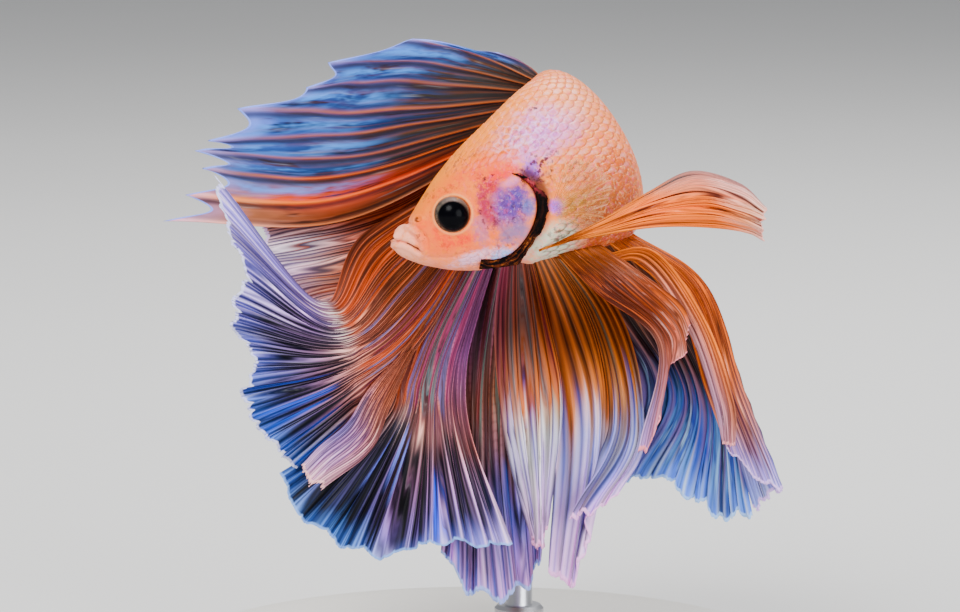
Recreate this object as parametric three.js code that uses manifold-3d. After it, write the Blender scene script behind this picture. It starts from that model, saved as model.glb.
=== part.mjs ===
// A long-finned betta (Siamese fighting fish) as a life-size museum model, turned in a tight bend,
// with its fins spread, on a plain display stand.
//
// Two frames are used. The fish is shaped in its own frame: +X to its right flank's open side of the
// bend, +Y away from the viewer, +Z up, in millimetres, with its origin in the middle of the spread
// fins. The whole fish then leans back a little and is lifted over the stand, whose underside centre
// is the origin of the part.
import * as THREE from 'three';
import { mergeVertices } from 'three/addons/utils/BufferGeometryUtils.js';
import Module from 'manifold-3d';

const wasm = await Module();
wasm.setup();

// ---------------------------------------------------------------- driving dimensions, millimetres
const DEG = Math.PI / 180;
const GAP = 0.3;                    // clear space between neighbouring pieces
const SLIVER = 0.02;                // edges shorter than this are closed up after a cut
const FIN_THICKNESS = 0.55;         // fins are solid sheets of this thickness
const BODY_LENGTH = 38;             // snout to tail root, along the curved spine
const SNOUT = [-7.6, -4.5, 5.5];    // tip of the snout
const PITCH = 19 * DEG;             // the head points down by this much
const BEND_START = 9.4;             // where along the spine the bend begins
const BEND_END = 27.5;              // and where it ends
const BEND_ANGLE = 120 * DEG;       // how far the tail turns away from the head's line
const HEAD_END = 12.4;              // parting places along the spine
const FRONT_END = 18;
const BEND_PIECE_END = 25;
const LEAN = 8 * DEG;               // the fish leans back on its stand
const LIFT = 34.8;                  // height of the fish's own origin over the floor
const SET_BACK = -6;                // brings the fish's weight over the middle of the base
const BASE_RADIUS = 27;
const BASE_HEIGHT = 4;
const BASE_RIM = 0.8;               // width of the bevel round the base
const BASE_SIDES = 36;
const ROD_RADIUS = 1.2;
const ROD_SIDES = 12;
const ROD_PLACE = [3.5, 12.5];      // where the rod stands on the base
const ROD_TOP = 41.4;               // it ends just under the tail stem

// Shape of the body along the spine: [distance from the snout, value].
const UP = [[0, 0.3], [0.35, 0.85], [1.1, 1.05], [1.8, 1.45], [2.7, 2.1], [4.2, 3.3], [5.5, 4.3], [8, 5.7],
  [11.2, 7.1], [14.5, 8.4], [18, 8.8], [21, 8.6], [25, 7.2], [30, 5.1], [34, 3.9], [38, 3.5]];
const DOWN = [[0, 0.5], [0.35, 1.4], [1.7, 2.65], [2.8, 3.35], [4.2, 4.1], [6.2, 4.8], [9, 5.5], [12.8, 6.2],
  [16, 6.9], [20, 7.4], [24, 6.8], [30, 5.0], [34, 3.9], [38, 3.5]];
const HALF_WIDTH = [[0, 0.3], [0.35, 0.9], [1.2, 1.4], [2.6, 2.0], [5, 2.75], [8, 3.35], [12, 3.8], [17, 4.0],
  [22, 3.7], [28, 2.6], [34, 1.6], [38, 0.5]];
const RISE = [[0, 0], [9, 0.1], [14, 0.5], [20, 1.0], [28, 1.8], [38, 2.2]];
const TWIST = [[0, 0], [10, 0], [14, 3], [19, 8], [25, 7], [32, 3], [38, 2]];

// Where the features of the head sit, by distance along the spine and height over it.
const EYE = { along: 5.75, height: 0.28, radius: 1.55, sunk: 0.7 };
const GILL = { along: 8.65, height: -0.9, inner: 3.6, outer: 4.7, from: -118, to: 40, stand: 0.595 };
const MOUTH = { long: 2.2, high: 0.22, wide: 4, slope: 23 * DEG, drop: 0.2 };
const PECTORAL = { along: 12.8, height: -1.3, length: 4.6, spread: 52, from: -52, stand: 0.8, rays: 4 };

// ------------------------------------------------------------------------------ small mathematics
const add = (a, b, k = 1) => [a[0] + b[0] * k, a[1] + b[1] * k, a[2] + b[2] * k];
const sub = (a, b) => add(a, b, -1);
const dot = (a, b) => a[0] * b[0] + a[1] * b[1] + a[2] * b[2];
const cross = (a, b) => [a[1] * b[2] - a[2] * b[1], a[2] * b[0] - a[0] * b[2], a[0] * b[1] - a[1] * b[0]];
const scale = (a, k) => [a[0] * k, a[1] * k, a[2] * k];
const size = (a) => Math.sqrt(dot(a, a));
const unit = (a) => scale(a, 1 / (size(a) || 1));
const smooth = (t) => {
  const c = Math.min(1, Math.max(0, t));
  return c * c * (3 - 2 * c);
};

// A smooth curve through keyed values, flat beyond its ends.
function keyed(keys, at) {
  const last = keys.length - 1;
  if (at <= keys[0][0]) return keys[0][1];
  if (at >= keys[last][0]) return keys[last][1];
  let i = 0;
  while (at > keys[i + 1][0]) i += 1;
  const slope = (k) => {
    const a = Math.max(0, k - 1);
    const b = Math.min(last, k + 1);
    return (keys[b][1] - keys[a][1]) / (keys[b][0] - keys[a][0]);
  };
  const span = keys[i + 1][0] - keys[i][0];
  const t = (at - keys[i][0]) / span;
  const h1 = t * t * (3 - 2 * t);
  const h2 = t * (1 - t) * (1 - t);
  const h3 = t * t * (t - 1);
  return keys[i][1] * (1 - h1) + keys[i + 1][1] * h1 + span * (h2 * slope(i) + h3 * slope(i + 1));
}

// Cubic through b and c with neighbours a and d.
const through = (a, b, c, d, t) => [0, 1, 2].map((k) => 0.5 * (2 * b[k] + (c[k] - a[k]) * t
  + (2 * a[k] - 5 * b[k] + 4 * c[k] - d[k]) * t * t + (3 * b[k] - a[k] - 3 * c[k] + d[k]) * t * t * t));

// ----------------------------------------------------------------------------- spine and body form
const AXIS = [Math.cos(PITCH), 0, Math.sin(PITCH)];
const CREST = [-Math.sin(PITCH), 0, Math.cos(PITCH)];
const AWAY = [0, 1, 0];

const heading = (s) => BEND_ANGLE * smooth((s - BEND_START) / (BEND_END - BEND_START));

const SPINE_STEPS = 400;
const spinePlan = [[0, 0]];
for (let i = 0; i < SPINE_STEPS; i += 1) {
  const step = BODY_LENGTH / SPINE_STEPS;
  const turn = heading((i + 0.5) * step);
  spinePlan.push([spinePlan[i][0] + Math.cos(turn) * step, spinePlan[i][1] + Math.sin(turn) * step]);
}

// Point, tail-ward, crest-ward and right-hand directions of the body at a distance from the snout.
function spine(s) {
  const place = Math.min(1, Math.max(0, s / BODY_LENGTH)) * SPINE_STEPS;
  const i = Math.min(SPINE_STEPS - 1, Math.floor(place));
  const t = place - i;
  const along = spinePlan[i][0] * (1 - t) + spinePlan[i + 1][0] * t;
  const back = spinePlan[i][1] * (1 - t) + spinePlan[i + 1][1] * t;
  const point = add(add(add(SNOUT, AXIS, along), AWAY, back), CREST, keyed(RISE, s));
  const tail = add(scale(AXIS, Math.cos(heading(s))), AWAY, Math.sin(heading(s)));
  const side = cross(CREST, tail);
  const roll = keyed(TWIST, s) * DEG;
  const up = add(scale(CREST, Math.cos(roll)), side, Math.sin(roll));
  return { point, tail, up, right: cross(up, tail) };
}

const bodyUp = (s) => keyed(UP, s);
const bodyDown = (s) => keyed(DOWN, s);
const bodyWide = (s) => keyed(HALF_WIDTH, s);

// Point of the body's surface at an angle round the section: 0 is the right flank, 90 the crest.
function bodyPoint(s, angle, grow = 0) {
  const at = spine(s);
  const tall = (Math.sin(angle) > 0 ? bodyUp(s) : bodyDown(s)) + grow;
  const wide = (bodyWide(s) + grow) * Math.cos(angle);
  return add(add(at.point, at.right, wide), at.up, tall * Math.sin(angle));
}

// Point on a flank at a height over the spine; side is 1 for the right flank and -1 for the left.
function flankPoint(s, height, side, out) {
  const at = spine(s);
  const tall = height > 0 ? bodyUp(s) : bodyDown(s);
  const wide = bodyWide(s) * Math.sqrt(Math.max(0, 1 - (height / tall) ** 2)) + out;
  return add(add(at.point, at.right, side * wide), at.up, height);
}

// --------------------------------------------------------------------------------- solids from grids
function geometryOf(points, faces) {
  const geometry = new THREE.BufferGeometry();
  geometry.setAttribute('position', new THREE.Float32BufferAttribute(points.flat(), 3));
  geometry.setIndex(faces.flat());
  return geometry;
}

function toSolid(geometry) {
  const plain = geometry.clone();
  plain.deleteAttribute('normal');
  plain.deleteAttribute('uv');
  const merged = mergeVertices(plain, 1e-5);
  return new wasm.Manifold(new wasm.Mesh({
    numProp: 3,
    vertProperties: new Float32Array(merged.attributes.position.array),
    triVerts: new Uint32Array(merged.index.array),
  }));
}

function fromSolid(solid) {
  const mesh = solid.getMesh();
  const geometry = new THREE.BufferGeometry();
  geometry.setAttribute('position', new THREE.BufferAttribute(new Float32Array(mesh.vertProperties), 3));
  geometry.setIndex(new THREE.BufferAttribute(new Uint32Array(mesh.triVerts), 1));
  return geometry;
}

const largest = (solid) => solid.decompose().sort((a, b) => b.volume() - a.volume())[0];

// Cuts a solid clear of others, keeps its main piece and smooths away slivers left by the cuts.
function clearOf(solid, others) {
  return largest(others.reduce((rest, other) => rest.subtract(other), solid).asOriginal().simplify(SLIVER));
}

// A loft of rings, each a list of points in the same order, closed at both ends by a fan.
function loft(rings) {
  const count = rings[0].length;
  const points = rings.flat();
  const faces = [];
  for (let i = 0; i + 1 < rings.length; i += 1) {
    for (let j = 0; j < count; j += 1) {
      const k = (j + 1) % count;
      const a = i * count;
      faces.push([a + j, a + k, a + count + k], [a + j, a + count + k, a + count + j]);
    }
  }
  const middle = (ring) => scale(ring.reduce((sum, p) => add(sum, p), [0, 0, 0]), 1 / count);
  const first = points.push(middle(rings[0])) - 1;
  const last = points.push(middle(rings[rings.length - 1])) - 1;
  const end = (rings.length - 1) * count;
  for (let j = 0; j < count; j += 1) {
    const k = (j + 1) % count;
    faces.push([first, k, j], [last, end + j, end + k]);
  }
  return geometryOf(points, faces);
}

const RING = 18;
const STATION = 1.0;
const MUZZLE = [0.15, 0.4, 0.7];     // extra stations round the blunt lips

// A length of the body between two places on the spine; grow swells it all round.
function bodyLength(from, to, grow = 0) {
  const count = Math.max(2, Math.ceil((to - from) / STATION));
  const stations = Array.from({ length: count + 1 }, (_, i) => from + (to - from) * (i / count));
  if (from === 0) stations.splice(1, 0, ...MUZZLE);
  const rings = [];
  for (const s of stations) {
    rings.push(Array.from({ length: RING }, (_, j) => bodyPoint(s, (j / RING) * 2 * Math.PI, grow)));
  }
  return loft(rings);
}

// ------------------------------------------------------------------------------------------ fins
// A fin sheet is a fan of key rays. Each ray starts on the body and runs through the same number of
// knots to its tip, and the sheet between neighbouring rays is filled smoothly.
function rayPoint(ray, along) {
  const last = ray.length - 1;
  const place = Math.max(0, along) * last;
  const i = Math.min(last - 1, Math.floor(place));
  const before = i > 0 ? ray[i - 1] : add(ray[0], sub(ray[0], ray[1]));
  const after = i + 2 <= last ? ray[i + 2] : add(ray[last], sub(ray[last], ray[last - 1]));
  return through(before, ray[i], ray[i + 1], after, place - i);
}

// Point of a sheet: across 0..1 over its rays, along 0..1 from root to margin.
function sheetPoint(sheet, across, along) {
  const last = sheet.rays.length - 1;
  const place = Math.min(1, Math.max(0, across)) * last;
  const i = Math.min(last - 1, Math.floor(place));
  const t = place - i;
  const web = 1 - sheet.notch * Math.sin(Math.PI * t) ** 2;
  const at = (k) => rayPoint(sheet.rays[k], along * web);
  const b = at(i);
  const c = at(i + 1);
  const a = i > 0 ? at(i - 1) : add(b, sub(b, c));
  const d = i + 2 <= last ? at(i + 2) : add(c, sub(c, b));
  return through(a, b, c, d, t);
}

// The solid of a sheet, of even thickness; grow thickens and widens it for cutting clear.
function sheetSolid(sheet, grow = 0) {
  const columns = (sheet.rays.length - 1) * sheet.columns;
  const rows = sheet.rows;
  const half = FIN_THICKNESS / 2 + grow;
  const grid = [];
  for (let i = 0; i <= columns; i += 1) {
    for (let j = 0; j <= rows; j += 1) {
      grid.push(sheetPoint(sheet, i / columns, j / rows));
    }
  }
  const at = (i, j) => grid[i * (rows + 1) + j];
  if (grow > 0) {
    for (let i = 0; i <= columns; i += 1) {
      const out = unit(sub(at(i, rows), at(i, rows - 1)));
      grid[i * (rows + 1) + rows] = add(at(i, rows), out, grow);
    }
    for (let j = 0; j <= rows; j += 1) {
      const near = unit(sub(at(0, j), at(1, j)));
      const far = unit(sub(at(columns, j), at(columns - 1, j)));
      grid[j] = add(at(0, j), near, grow);
      grid[columns * (rows + 1) + j] = add(at(columns, j), far, grow);
    }
  }
  const front = [];
  const back = [];
  for (let i = 0; i <= columns; i += 1) {
    for (let j = 0; j <= rows; j += 1) {
      const wide = sub(at(Math.min(columns, i + 1), j), at(Math.max(0, i - 1), j));
      const long = sub(at(i, Math.min(rows, j + 1)), at(i, Math.max(0, j - 1)));
      const normal = unit(cross(wide, long));
      front.push(add(at(i, j), normal, half));
      back.push(add(at(i, j), normal, -half));
    }
  }
  const points = [...front, ...back];
  const lower = front.length;
  const node = (i, j) => i * (rows + 1) + j;
  const faces = [];
  const quad = (a, b, c, d) => faces.push([a, b, c], [a, c, d]);
  for (let i = 0; i < columns; i += 1) {
    for (let j = 0; j < rows; j += 1) {
      quad(node(i, j), node(i + 1, j), node(i + 1, j + 1), node(i, j + 1));
      quad(lower + node(i, j), lower + node(i, j + 1), lower + node(i + 1, j + 1), lower + node(i + 1, j));
    }
    quad(node(i, 0), lower + node(i, 0), lower + node(i + 1, 0), node(i + 1, 0));
    quad(node(i, rows), node(i + 1, rows), lower + node(i + 1, rows), lower + node(i, rows));
  }
  for (let j = 0; j < rows; j += 1) {
    quad(node(0, j), node(0, j + 1), lower + node(0, j + 1), lower + node(0, j));
    quad(node(columns, j), lower + node(columns, j), lower + node(columns, j + 1), node(columns, j + 1));
  }
  return toSolid(geometryOf(points, faces));
}

// Roots of the fins: on the crest, along the belly, and on the edge of the tail root.
const ROOT_SINK = 0.9;               // fins begin this far inside the skin of the crest and belly
const TAIL_SINK = 0.6;               // and the tail fin this far inside the end of the tail stem
const TAIL_SHARE = 0.95;             // share of the tail stem's height that its rays leave from
const crestRoot = (s) => bodyPoint(s, 90 * DEG, -ROOT_SINK);
const bellyRoot = (s) => bodyPoint(s, -90 * DEG, -ROOT_SINK);
const tailRoot = (share) => {
  const at = spine(BODY_LENGTH);
  return add(add(at.point, at.up, share * bodyUp(BODY_LENGTH) * TAIL_SHARE), at.tail, -TAIL_SINK);
};

const fan = (root, list) => list.map(([start, ...knots]) => [root(start), ...knots]);
const sheet = (rays, options = {}) => ({ rays, columns: 2, rows: 6, notch: 0, ...options });

// Every ray: [where it leaves the body, then knots as x, y, z, the last one its tip].
const DORSAL = sheet(fan(crestRoot, [
  [21.8, [4.0, 2.4, 20.6], [1.6, 2.6, 21.6]],
  [22.6, [-0.5, 3.2, 21.6], [-5.8, 4.0, 22.9]],
  [23.6, [-4.5, 4.4, 20.9], [-12.8, 5.0, 20.9]],
  [24.6, [-7.5, 5.4, 19.4], [-14.9, 6.0, 18.7]],
  [25.6, [-10.0, 6.4, 16.8], [-20.6, 7.0, 17.0]],
  [26.7, [-10.8, 7.4, 15.0], [-23.0, 8.0, 14.4]],
  [27.8, [-11.6, 8.2, 12.9], [-24.3, 9.0, 13.5]],
  [28.8, [-11.8, 9.0, 11.3], [-23.8, 9.5, 11.9]],
  [29.8, [-12.0, 9.6, 9.4], [-25.4, 10.0, 9.6]],
  [30.8, [-11.6, 10.2, 7.5], [-27.0, 10.5, 7.4]],
]), { notch: 0.05 });

const CAUDAL_UPPER = sheet(fan(tailRoot, [
  [0.95, [-8.7, 12.6, 8.0], [-18.9, 11.8, 5.9]],
  [0.80, [-8.3, 12.4, 6.0], [-19.0, 11.2, 3.3]],
  [0.65, [-7.9, 12.0, 3.6], [-17.0, 10.2, 0.5]],
  [0.50, [-7.0, 11.4, 0.8], [-14.1, 9.2, -2.5]],
]), { notch: 0.03 });

const CAUDAL_FLAP = sheet(fan(tailRoot, [
  [0.45, [-10.0, 8.2, 6.4], [-13.8, 4.4, 0.4], [-22.4, 1.5, 11.0]],
  [0.38, [-7.9, 8.6, 4.6], [-12.9, 4.3, -0.9], [-21.7, 1.5, 6.5]],
  [0.31, [-7.2, 8.6, 3.2], [-12.4, 4.2, -1.9], [-20.0, 1.8, 3.6]],
  [0.24, [-6.6, 8.5, 2.0], [-12.0, 4.2, -2.7], [-20.9, 2.3, 0.4]],
  [0.17, [-6.1, 8.4, 1.0], [-11.7, 4.4, -3.5], [-21.0, 2.8, -2.0]],
  [0.10, [-5.7, 8.3, 0.2], [-11.5, 4.7, -4.3], [-19.2, 3.6, -4.9]],
  [0.03, [-5.3, 8.2, -0.5], [-11.4, 4.9, -5.2], [-20.5, 4.8, -7.4]],
  [-0.04, [-4.9, 8.1, -1.1], [-11.2, 4.9, -6.4], [-19.4, 5.0, -10.2]],
  [-0.11, [-4.5, 8.0, -1.7], [-10.6, 4.7, -7.6], [-16.8, 4.6, -12.8]],
]), { notch: 0.03, rows: 7 });

const CAUDAL_TONGUE = sheet(fan(tailRoot, [
  [-0.12, [-5.0, 6.2, 1.5], [-8.6, 1.8, -5.0], [-15.0, -1.0, -12.7]],
  [-0.18, [-4.4, 5.8, 0.5], [-7.8, 0.8, -7.0], [-14.6, -2.0, -13.8]],
  [-0.24, [-3.8, 5.6, -0.4], [-7.3, 0.6, -8.8], [-13.8, -2.4, -14.9]],
]), { rows: 7 });

const CAUDAL_MIDDLE = sheet(fan(tailRoot, [
  [-0.20, [-4.6, 9.4, 0.0], [-8.6, 7.2, -7.0], [-17.5, 6.4, -14.5]],
  [-0.27, [-4.0, 9.2, -0.6], [-7.6, 6.8, -8.2], [-15.4, 6.0, -18.3]],
  [-0.34, [-3.4, 9.0, -1.0], [-6.7, 6.4, -8.8], [-11.8, 5.6, -20.8]],
  [-0.41, [-2.8, 8.8, -1.2], [-5.8, 6.0, -8.9], [-8.2, 4.8, -21.6]],
  [-0.48, [-2.1, 8.6, -1.3], [-4.9, 5.4, -8.7], [-3.8, 3.4, -20.5]],
  [-0.55, [-1.4, 8.4, -1.2], [-3.9, 4.8, -8.5], [-0.2, 1.6, -20.5]],
  [-0.62, [-0.7, 8.2, -1.0], [-2.9, 4.2, -8.4], [2.6, -0.4, -20.3]],
]), { notch: 0.02, rows: 7 });

const CAUDAL_BACK = sheet(fan(tailRoot, [
  [-0.60, [-3.2, 12.4, -3.0], [-3.9, 9.9, -13.0], [-3.4, 8.6, -21.6]],
  [-0.61, [-1.0, 12.4, -3.0], [-1.9, 9.8, -13.0], [-1.1, 8.8, -24.7]],
  [-0.62, [1.4, 12.4, -3.0], [0.6, 9.7, -13.0], [2.1, 9.2, -25.8]],
  [-0.63, [3.8, 12.2, -3.0], [3.4, 9.6, -13.0], [4.2, 9.2, -24.3]],
  [-0.64, [6.2, 12.0, -3.0], [6.0, 9.4, -12.4], [5.3, 9.0, -22.2]],
]), { notch: 0.03 });

const CAUDAL_PLEAT = sheet(fan(tailRoot, [
  [-0.68, [1.3, 7.6, -0.6], [2.0, 4.6, -10.6], [4.8, 2.6, -20.4]],
  [-0.74, [3.0, 7.2, -0.4], [3.6, 2.8, -9.6], [5.1, 2.2, -20.7]],
  [-0.80, [4.5, 7.2, -0.4], [5.4, 2.4, -9.3], [5.4, 2.0, -20.3]],
  [-0.86, [5.8, 7.8, -0.8], [7.2, 3.6, -8.8], [5.6, 2.4, -18.7]],
]), { rows: 7 });

const CAUDAL_LOWER = sheet(fan(tailRoot, [
  [-0.80, [5.6, 9.9, -1.5], [7.3, 7.2, -11.4], [6.0, 6.0, -23.0]],
  [-0.84, [7.4, 9.8, -1.2], [9.4, 6.8, -10.4], [7.7, 5.9, -24.2]],
  [-0.88, [9.0, 9.6, -1.0], [10.6, 6.6, -10.2], [8.5, 5.6, -22.6]],
  [-0.90, [9.5, 9.7, -0.9], [11.1, 6.4, -10.2], [9.4, 4.8, -17.6]],
  [-0.92, [10.0, 9.8, -0.8], [11.8, 6.2, -10.4], [7.9, 3.9, -18.2]],
  [-0.96, [11.0, 10.0, -0.6], [13.0, 6.2, -10.8], [9.4, 3.3, -17.8]],
  [-1.00, [12.0, 10.2, -0.4], [14.3, 6.8, -11.0], [11.9, 4.0, -16.1]],
]), { columns: 3, rows: 7 });

const ANAL_FRONT = sheet(fan(bellyRoot, [
  [12.6, [9.6, -7.6, 1.2], [14.8, -9.0, -3.4], [13.2, -8.6, -12.2]],
  [13.3, [10.4, -7.8, 1.6], [15.3, -9.2, -3.0], [14.2, -8.4, -11.6]],
  [14.0, [11.2, -7.8, 2.0], [15.6, -9.0, -2.4], [15.4, -8.6, -5.6]],
  [15.0, [12.4, -7.2, 2.4], [16.2, -8.0, -1.2], [17.2, -7.6, -4.0]],
  [16.0, [13.6, -6.2, 2.6], [16.4, -6.6, 0.2], [17.4, -6.4, -1.6]],
]));

const ANAL_BEND = sheet(fan(bellyRoot, [
  [17.0, [16.4, -3.4, 0.6], [19.0, -3.2, -7.0], [20.8, -2.8, -12.0]],
  [18.4, [17.6, -2.2, 1.2], [20.6, -2.0, -7.4], [23.4, -2.0, -14.6]],
  [20.0, [18.9, -0.6, 2.0], [22.1, -0.4, -7.0], [25.5, -0.8, -15.6]],
  [21.4, [18.9, 1.6, 1.6], [22.0, 2.0, -7.4], [25.0, 2.0, -16.2]],
  [22.8, [18.2, 3.8, 1.2], [20.8, 4.2, -8.0], [23.6, 4.4, -17.6]],
]), { notch: 0.02 });

const ANAL_REAR = sheet(fan(bellyRoot, [
  [22.9, [18.1, 4.1, 1.1], [20.7, 4.5, -8.0], [23.5, 4.6, -17.7]],
  [25.2, [16.4, 8.0, 0.2], [18.2, 7.6, -9.0], [20.6, 6.8, -18.9]],
  [27.2, [14.6, 10.2, -0.2], [16.4, 9.6, -9.0], [17.6, 8.4, -16.3]],
  [29.0, [12.8, 12.0, -0.4], [14.4, 11.2, -8.4], [14.2, 9.8, -15.6]],
  [31.0, [10.8, 13.6, -0.4], [12.0, 12.6, -8.0], [11.4, 11.2, -16.2]],
  [33.0, [8.8, 14.8, -0.4], [9.2, 13.8, -8.0], [8.8, 12.4, -16.4]],
]), { notch: 0.03 });

// Pelvic fins are long narrow ribbons from the breast.
const breastRoot = (side) => (share) => flankPoint(11.4 + share * 0.6, -5.2, side, 0.2);
const PELVIC_LEFT = sheet(fan(breastRoot(-1), [
  [0, [9.8, -8.9, 7.0], [13.9, -9.4, 9.4], [17.6, -8.8, 11.2], [23.6, -7.6, 8.7]],
  [0.5, [9.9, -9.1, 6.4], [14.3, -9.6, 8.0], [18.6, -9.0, 8.6], [23.7, -8.0, 7.6]],
  [1, [10.0, -9.2, 5.9], [14.7, -9.6, 6.6], [19.4, -9.2, 6.5], [23.4, -8.4, 5.4]],
]), { rows: 10 });
const PELVIC_RIGHT = sheet(fan(breastRoot(1), [
  [0, [9.6, -2.0, 3.4], [13.6, -4.6, 3.6], [17.4, -5.4, -1.8], [19.6, -5.4, -8.0], [20.4, -4.8, -11.6]],
  [1, [9.8, -2.2, 4.2], [14.6, -4.8, 4.6], [18.9, -5.6, -1.2], [21.2, -5.6, -8.0], [21.4, -5.0, -11.8]],
]), { rows: 10 });

// Pectoral fins are small clear fans on the flanks, just behind the gill covers.
function pectoralSheet(side) {
  const rays = [];
  for (let i = 0; i <= PECTORAL.rays; i += 1) {
    const turn = (PECTORAL.from + PECTORAL.spread * (i / PECTORAL.rays)) * DEG;
    const ray = [];
    for (const reach of [0, 0.5, 1]) {
      const along = PECTORAL.along + 0.4 + reach * PECTORAL.length * Math.cos(turn);
      const height = PECTORAL.height + (i / PECTORAL.rays - 0.5) + reach * PECTORAL.length * Math.sin(turn);
      ray.push(flankPoint(along, height, side, 0.4 + PECTORAL.stand * reach * (1.4 - 0.4 * reach)));
    }
    rays.push(ray);
  }
  return sheet(rays, { rows: 3 });
}

// The dark skin flap that shows behind the gill cover, as a curved band lying on the flank.
function gillSheet(side) {
  const rays = [];
  const steps = 8;
  for (let i = 0; i <= steps; i += 1) {
    const turn = (GILL.from + (GILL.to - GILL.from) * (i / steps)) * DEG;
    rays.push([GILL.inner, (GILL.inner + GILL.outer) / 2, GILL.outer].map((reach) => flankPoint(
      GILL.along + reach * Math.cos(turn), GILL.height + reach * Math.sin(turn), side, GILL.stand,
    )));
  }
  return sheet(rays, { columns: 1, rows: 2 });
}

// ------------------------------------------------------------------------------------ the scene
const COLOURS = {
  flesh: [0xe9b58c, 0.45, 0],
  eye: [0x0c0b12, 0.08, 0],
  gill: [0x2a160f, 0.6, 0],
  orange: [0xc9622c, 0.5, 0],
  blue: [0x3b5fa8, 0.45, 0],
  lavender: [0xc3a5cf, 0.5, 0],
  base: [0xe2e0dc, 0.35, 0],
  rod: [0xc9c9cb, 0.3, 1],
};

function material(name) {
  const [color, roughness, metalness] = COLOURS[name];
  return new THREE.MeshStandardMaterial({ color, roughness, metalness });
}

const fish = new THREE.Group();
fish.rotation.x = -LEAN;
fish.position.set(0, SET_BACK, LIFT);
const placed = [];

function place(name, solid, colour, parent = fish) {
  const mesh = new THREE.Mesh(fromSolid(solid), material(colour));
  mesh.name = name;
  parent.add(mesh);
}

// Eyes, set in sockets of the head.
function eyeBall(side, grow = 0) {
  const centre = flankPoint(EYE.along, EYE.height, side, -EYE.sunk);
  const ball = new THREE.SphereGeometry(EYE.radius + grow, 16, 10);
  ball.translate(...centre);
  return toSolid(ball);
}
place('eye_left', eyeBall(-1), 'eye');
place('eye_right', eyeBall(1), 'eye');

// The mouth is a slit that slopes down behind the lips.
const slit = new THREE.BoxGeometry(2 * MOUTH.long, MOUTH.wide, MOUTH.high);
slit.rotateY(MOUTH.slope);
slit.translate(SNOUT[0], SNOUT[1], SNOUT[2] - MOUTH.drop);

const head = toSolid(bodyLength(0, HEAD_END - GAP / 2));
place('head', clearOf(head, [eyeBall(-1, GAP), eyeBall(1, GAP), toSolid(slit)]), 'flesh');
place('trunk_front', toSolid(bodyLength(HEAD_END + GAP / 2, FRONT_END - GAP / 2)), 'flesh');
place('trunk_bend', toSolid(bodyLength(FRONT_END + GAP / 2, BEND_PIECE_END - GAP / 2)), 'flesh');
place('tail_stem', toSolid(bodyLength(BEND_PIECE_END + GAP / 2, BODY_LENGTH)), 'flesh');
const bodyClear = toSolid(bodyLength(0, BODY_LENGTH, GAP));

// Fins and gill flaps are cut clear of the body and of each one placed before them.
const SHEETS = [
  ['gill_flap_left', gillSheet(-1), 'gill'],
  ['gill_flap_right', gillSheet(1), 'gill'],
  ['pectoral_fin_left', pectoralSheet(-1), 'orange'],
  ['pectoral_fin_right', pectoralSheet(1), 'orange'],
  ['dorsal_fin', DORSAL, 'blue'],
  ['caudal_fin_flap', CAUDAL_FLAP, 'lavender'],
  ['caudal_fin_upper', CAUDAL_UPPER, 'orange'],
  ['caudal_fin_tongue', CAUDAL_TONGUE, 'lavender'],
  ['caudal_fin_middle', CAUDAL_MIDDLE, 'blue'],
  ['caudal_fin_pleat', CAUDAL_PLEAT, 'lavender'],
  ['caudal_fin_lower', CAUDAL_LOWER, 'lavender'],
  ['caudal_fin_back', CAUDAL_BACK, 'blue'],
  ['anal_fin_front', ANAL_FRONT, 'orange'],
  ['anal_fin_bend', ANAL_BEND, 'orange'],
  ['anal_fin_rear', ANAL_REAR, 'blue'],
  ['pelvic_fin_left', PELVIC_LEFT, 'orange'],
  ['pelvic_fin_right', PELVIC_RIGHT, 'orange'],
];
for (const [name, form, colour] of SHEETS) {
  place(name, clearOf(sheetSolid(form), [bodyClear, ...placed]), colour);
  placed.push(sheetSolid(form, GAP));
}

// Stand: a round base with a bevelled rim and one rod up to the underside of the tail stem.
const model = new THREE.Group();
model.add(fish);

const baseProfile = [[0, 0], [BASE_RADIUS - BASE_RIM / 2, 0], [BASE_RADIUS, BASE_RIM / 2],
  [BASE_RADIUS, BASE_HEIGHT - BASE_RIM], [BASE_RADIUS - BASE_RIM, BASE_HEIGHT], [0, BASE_HEIGHT]];
const base = new THREE.LatheGeometry(baseProfile.map(([x, y]) => new THREE.Vector2(x, y)), BASE_SIDES);
base.rotateX(90 * DEG);
place('stand_base', toSolid(base), 'base', model);

const rodHeight = ROD_TOP - BASE_HEIGHT - GAP;
const rod = new THREE.CylinderGeometry(ROD_RADIUS, ROD_RADIUS, rodHeight, ROD_SIDES);
rod.rotateX(90 * DEG);
rod.translate(ROD_PLACE[0], ROD_PLACE[1], ROD_TOP - rodHeight / 2);
const toPart = (solid) => solid.rotate([-LEAN / DEG, 0, 0]).translate([0, SET_BACK, LIFT]);
place('stand_rod', clearOf(toSolid(rod), [toPart(bodyClear)]), 'rod', model);

export default model;
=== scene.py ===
"""A life-size still model of a long-finned betta on a plain display stand.

The fish is shaped in its own frame, in millimetres, as its solids are: +X from the snout's side of
the bend to the open side, +Y away from the viewer, +Z up, with the origin amid the spread fins.
to_row() leans it back, lifts it over the stand and gives metres. Distances along the body run from
the snout.
"""

import logging
import math
from dataclasses import dataclass
from enum import Enum

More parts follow.
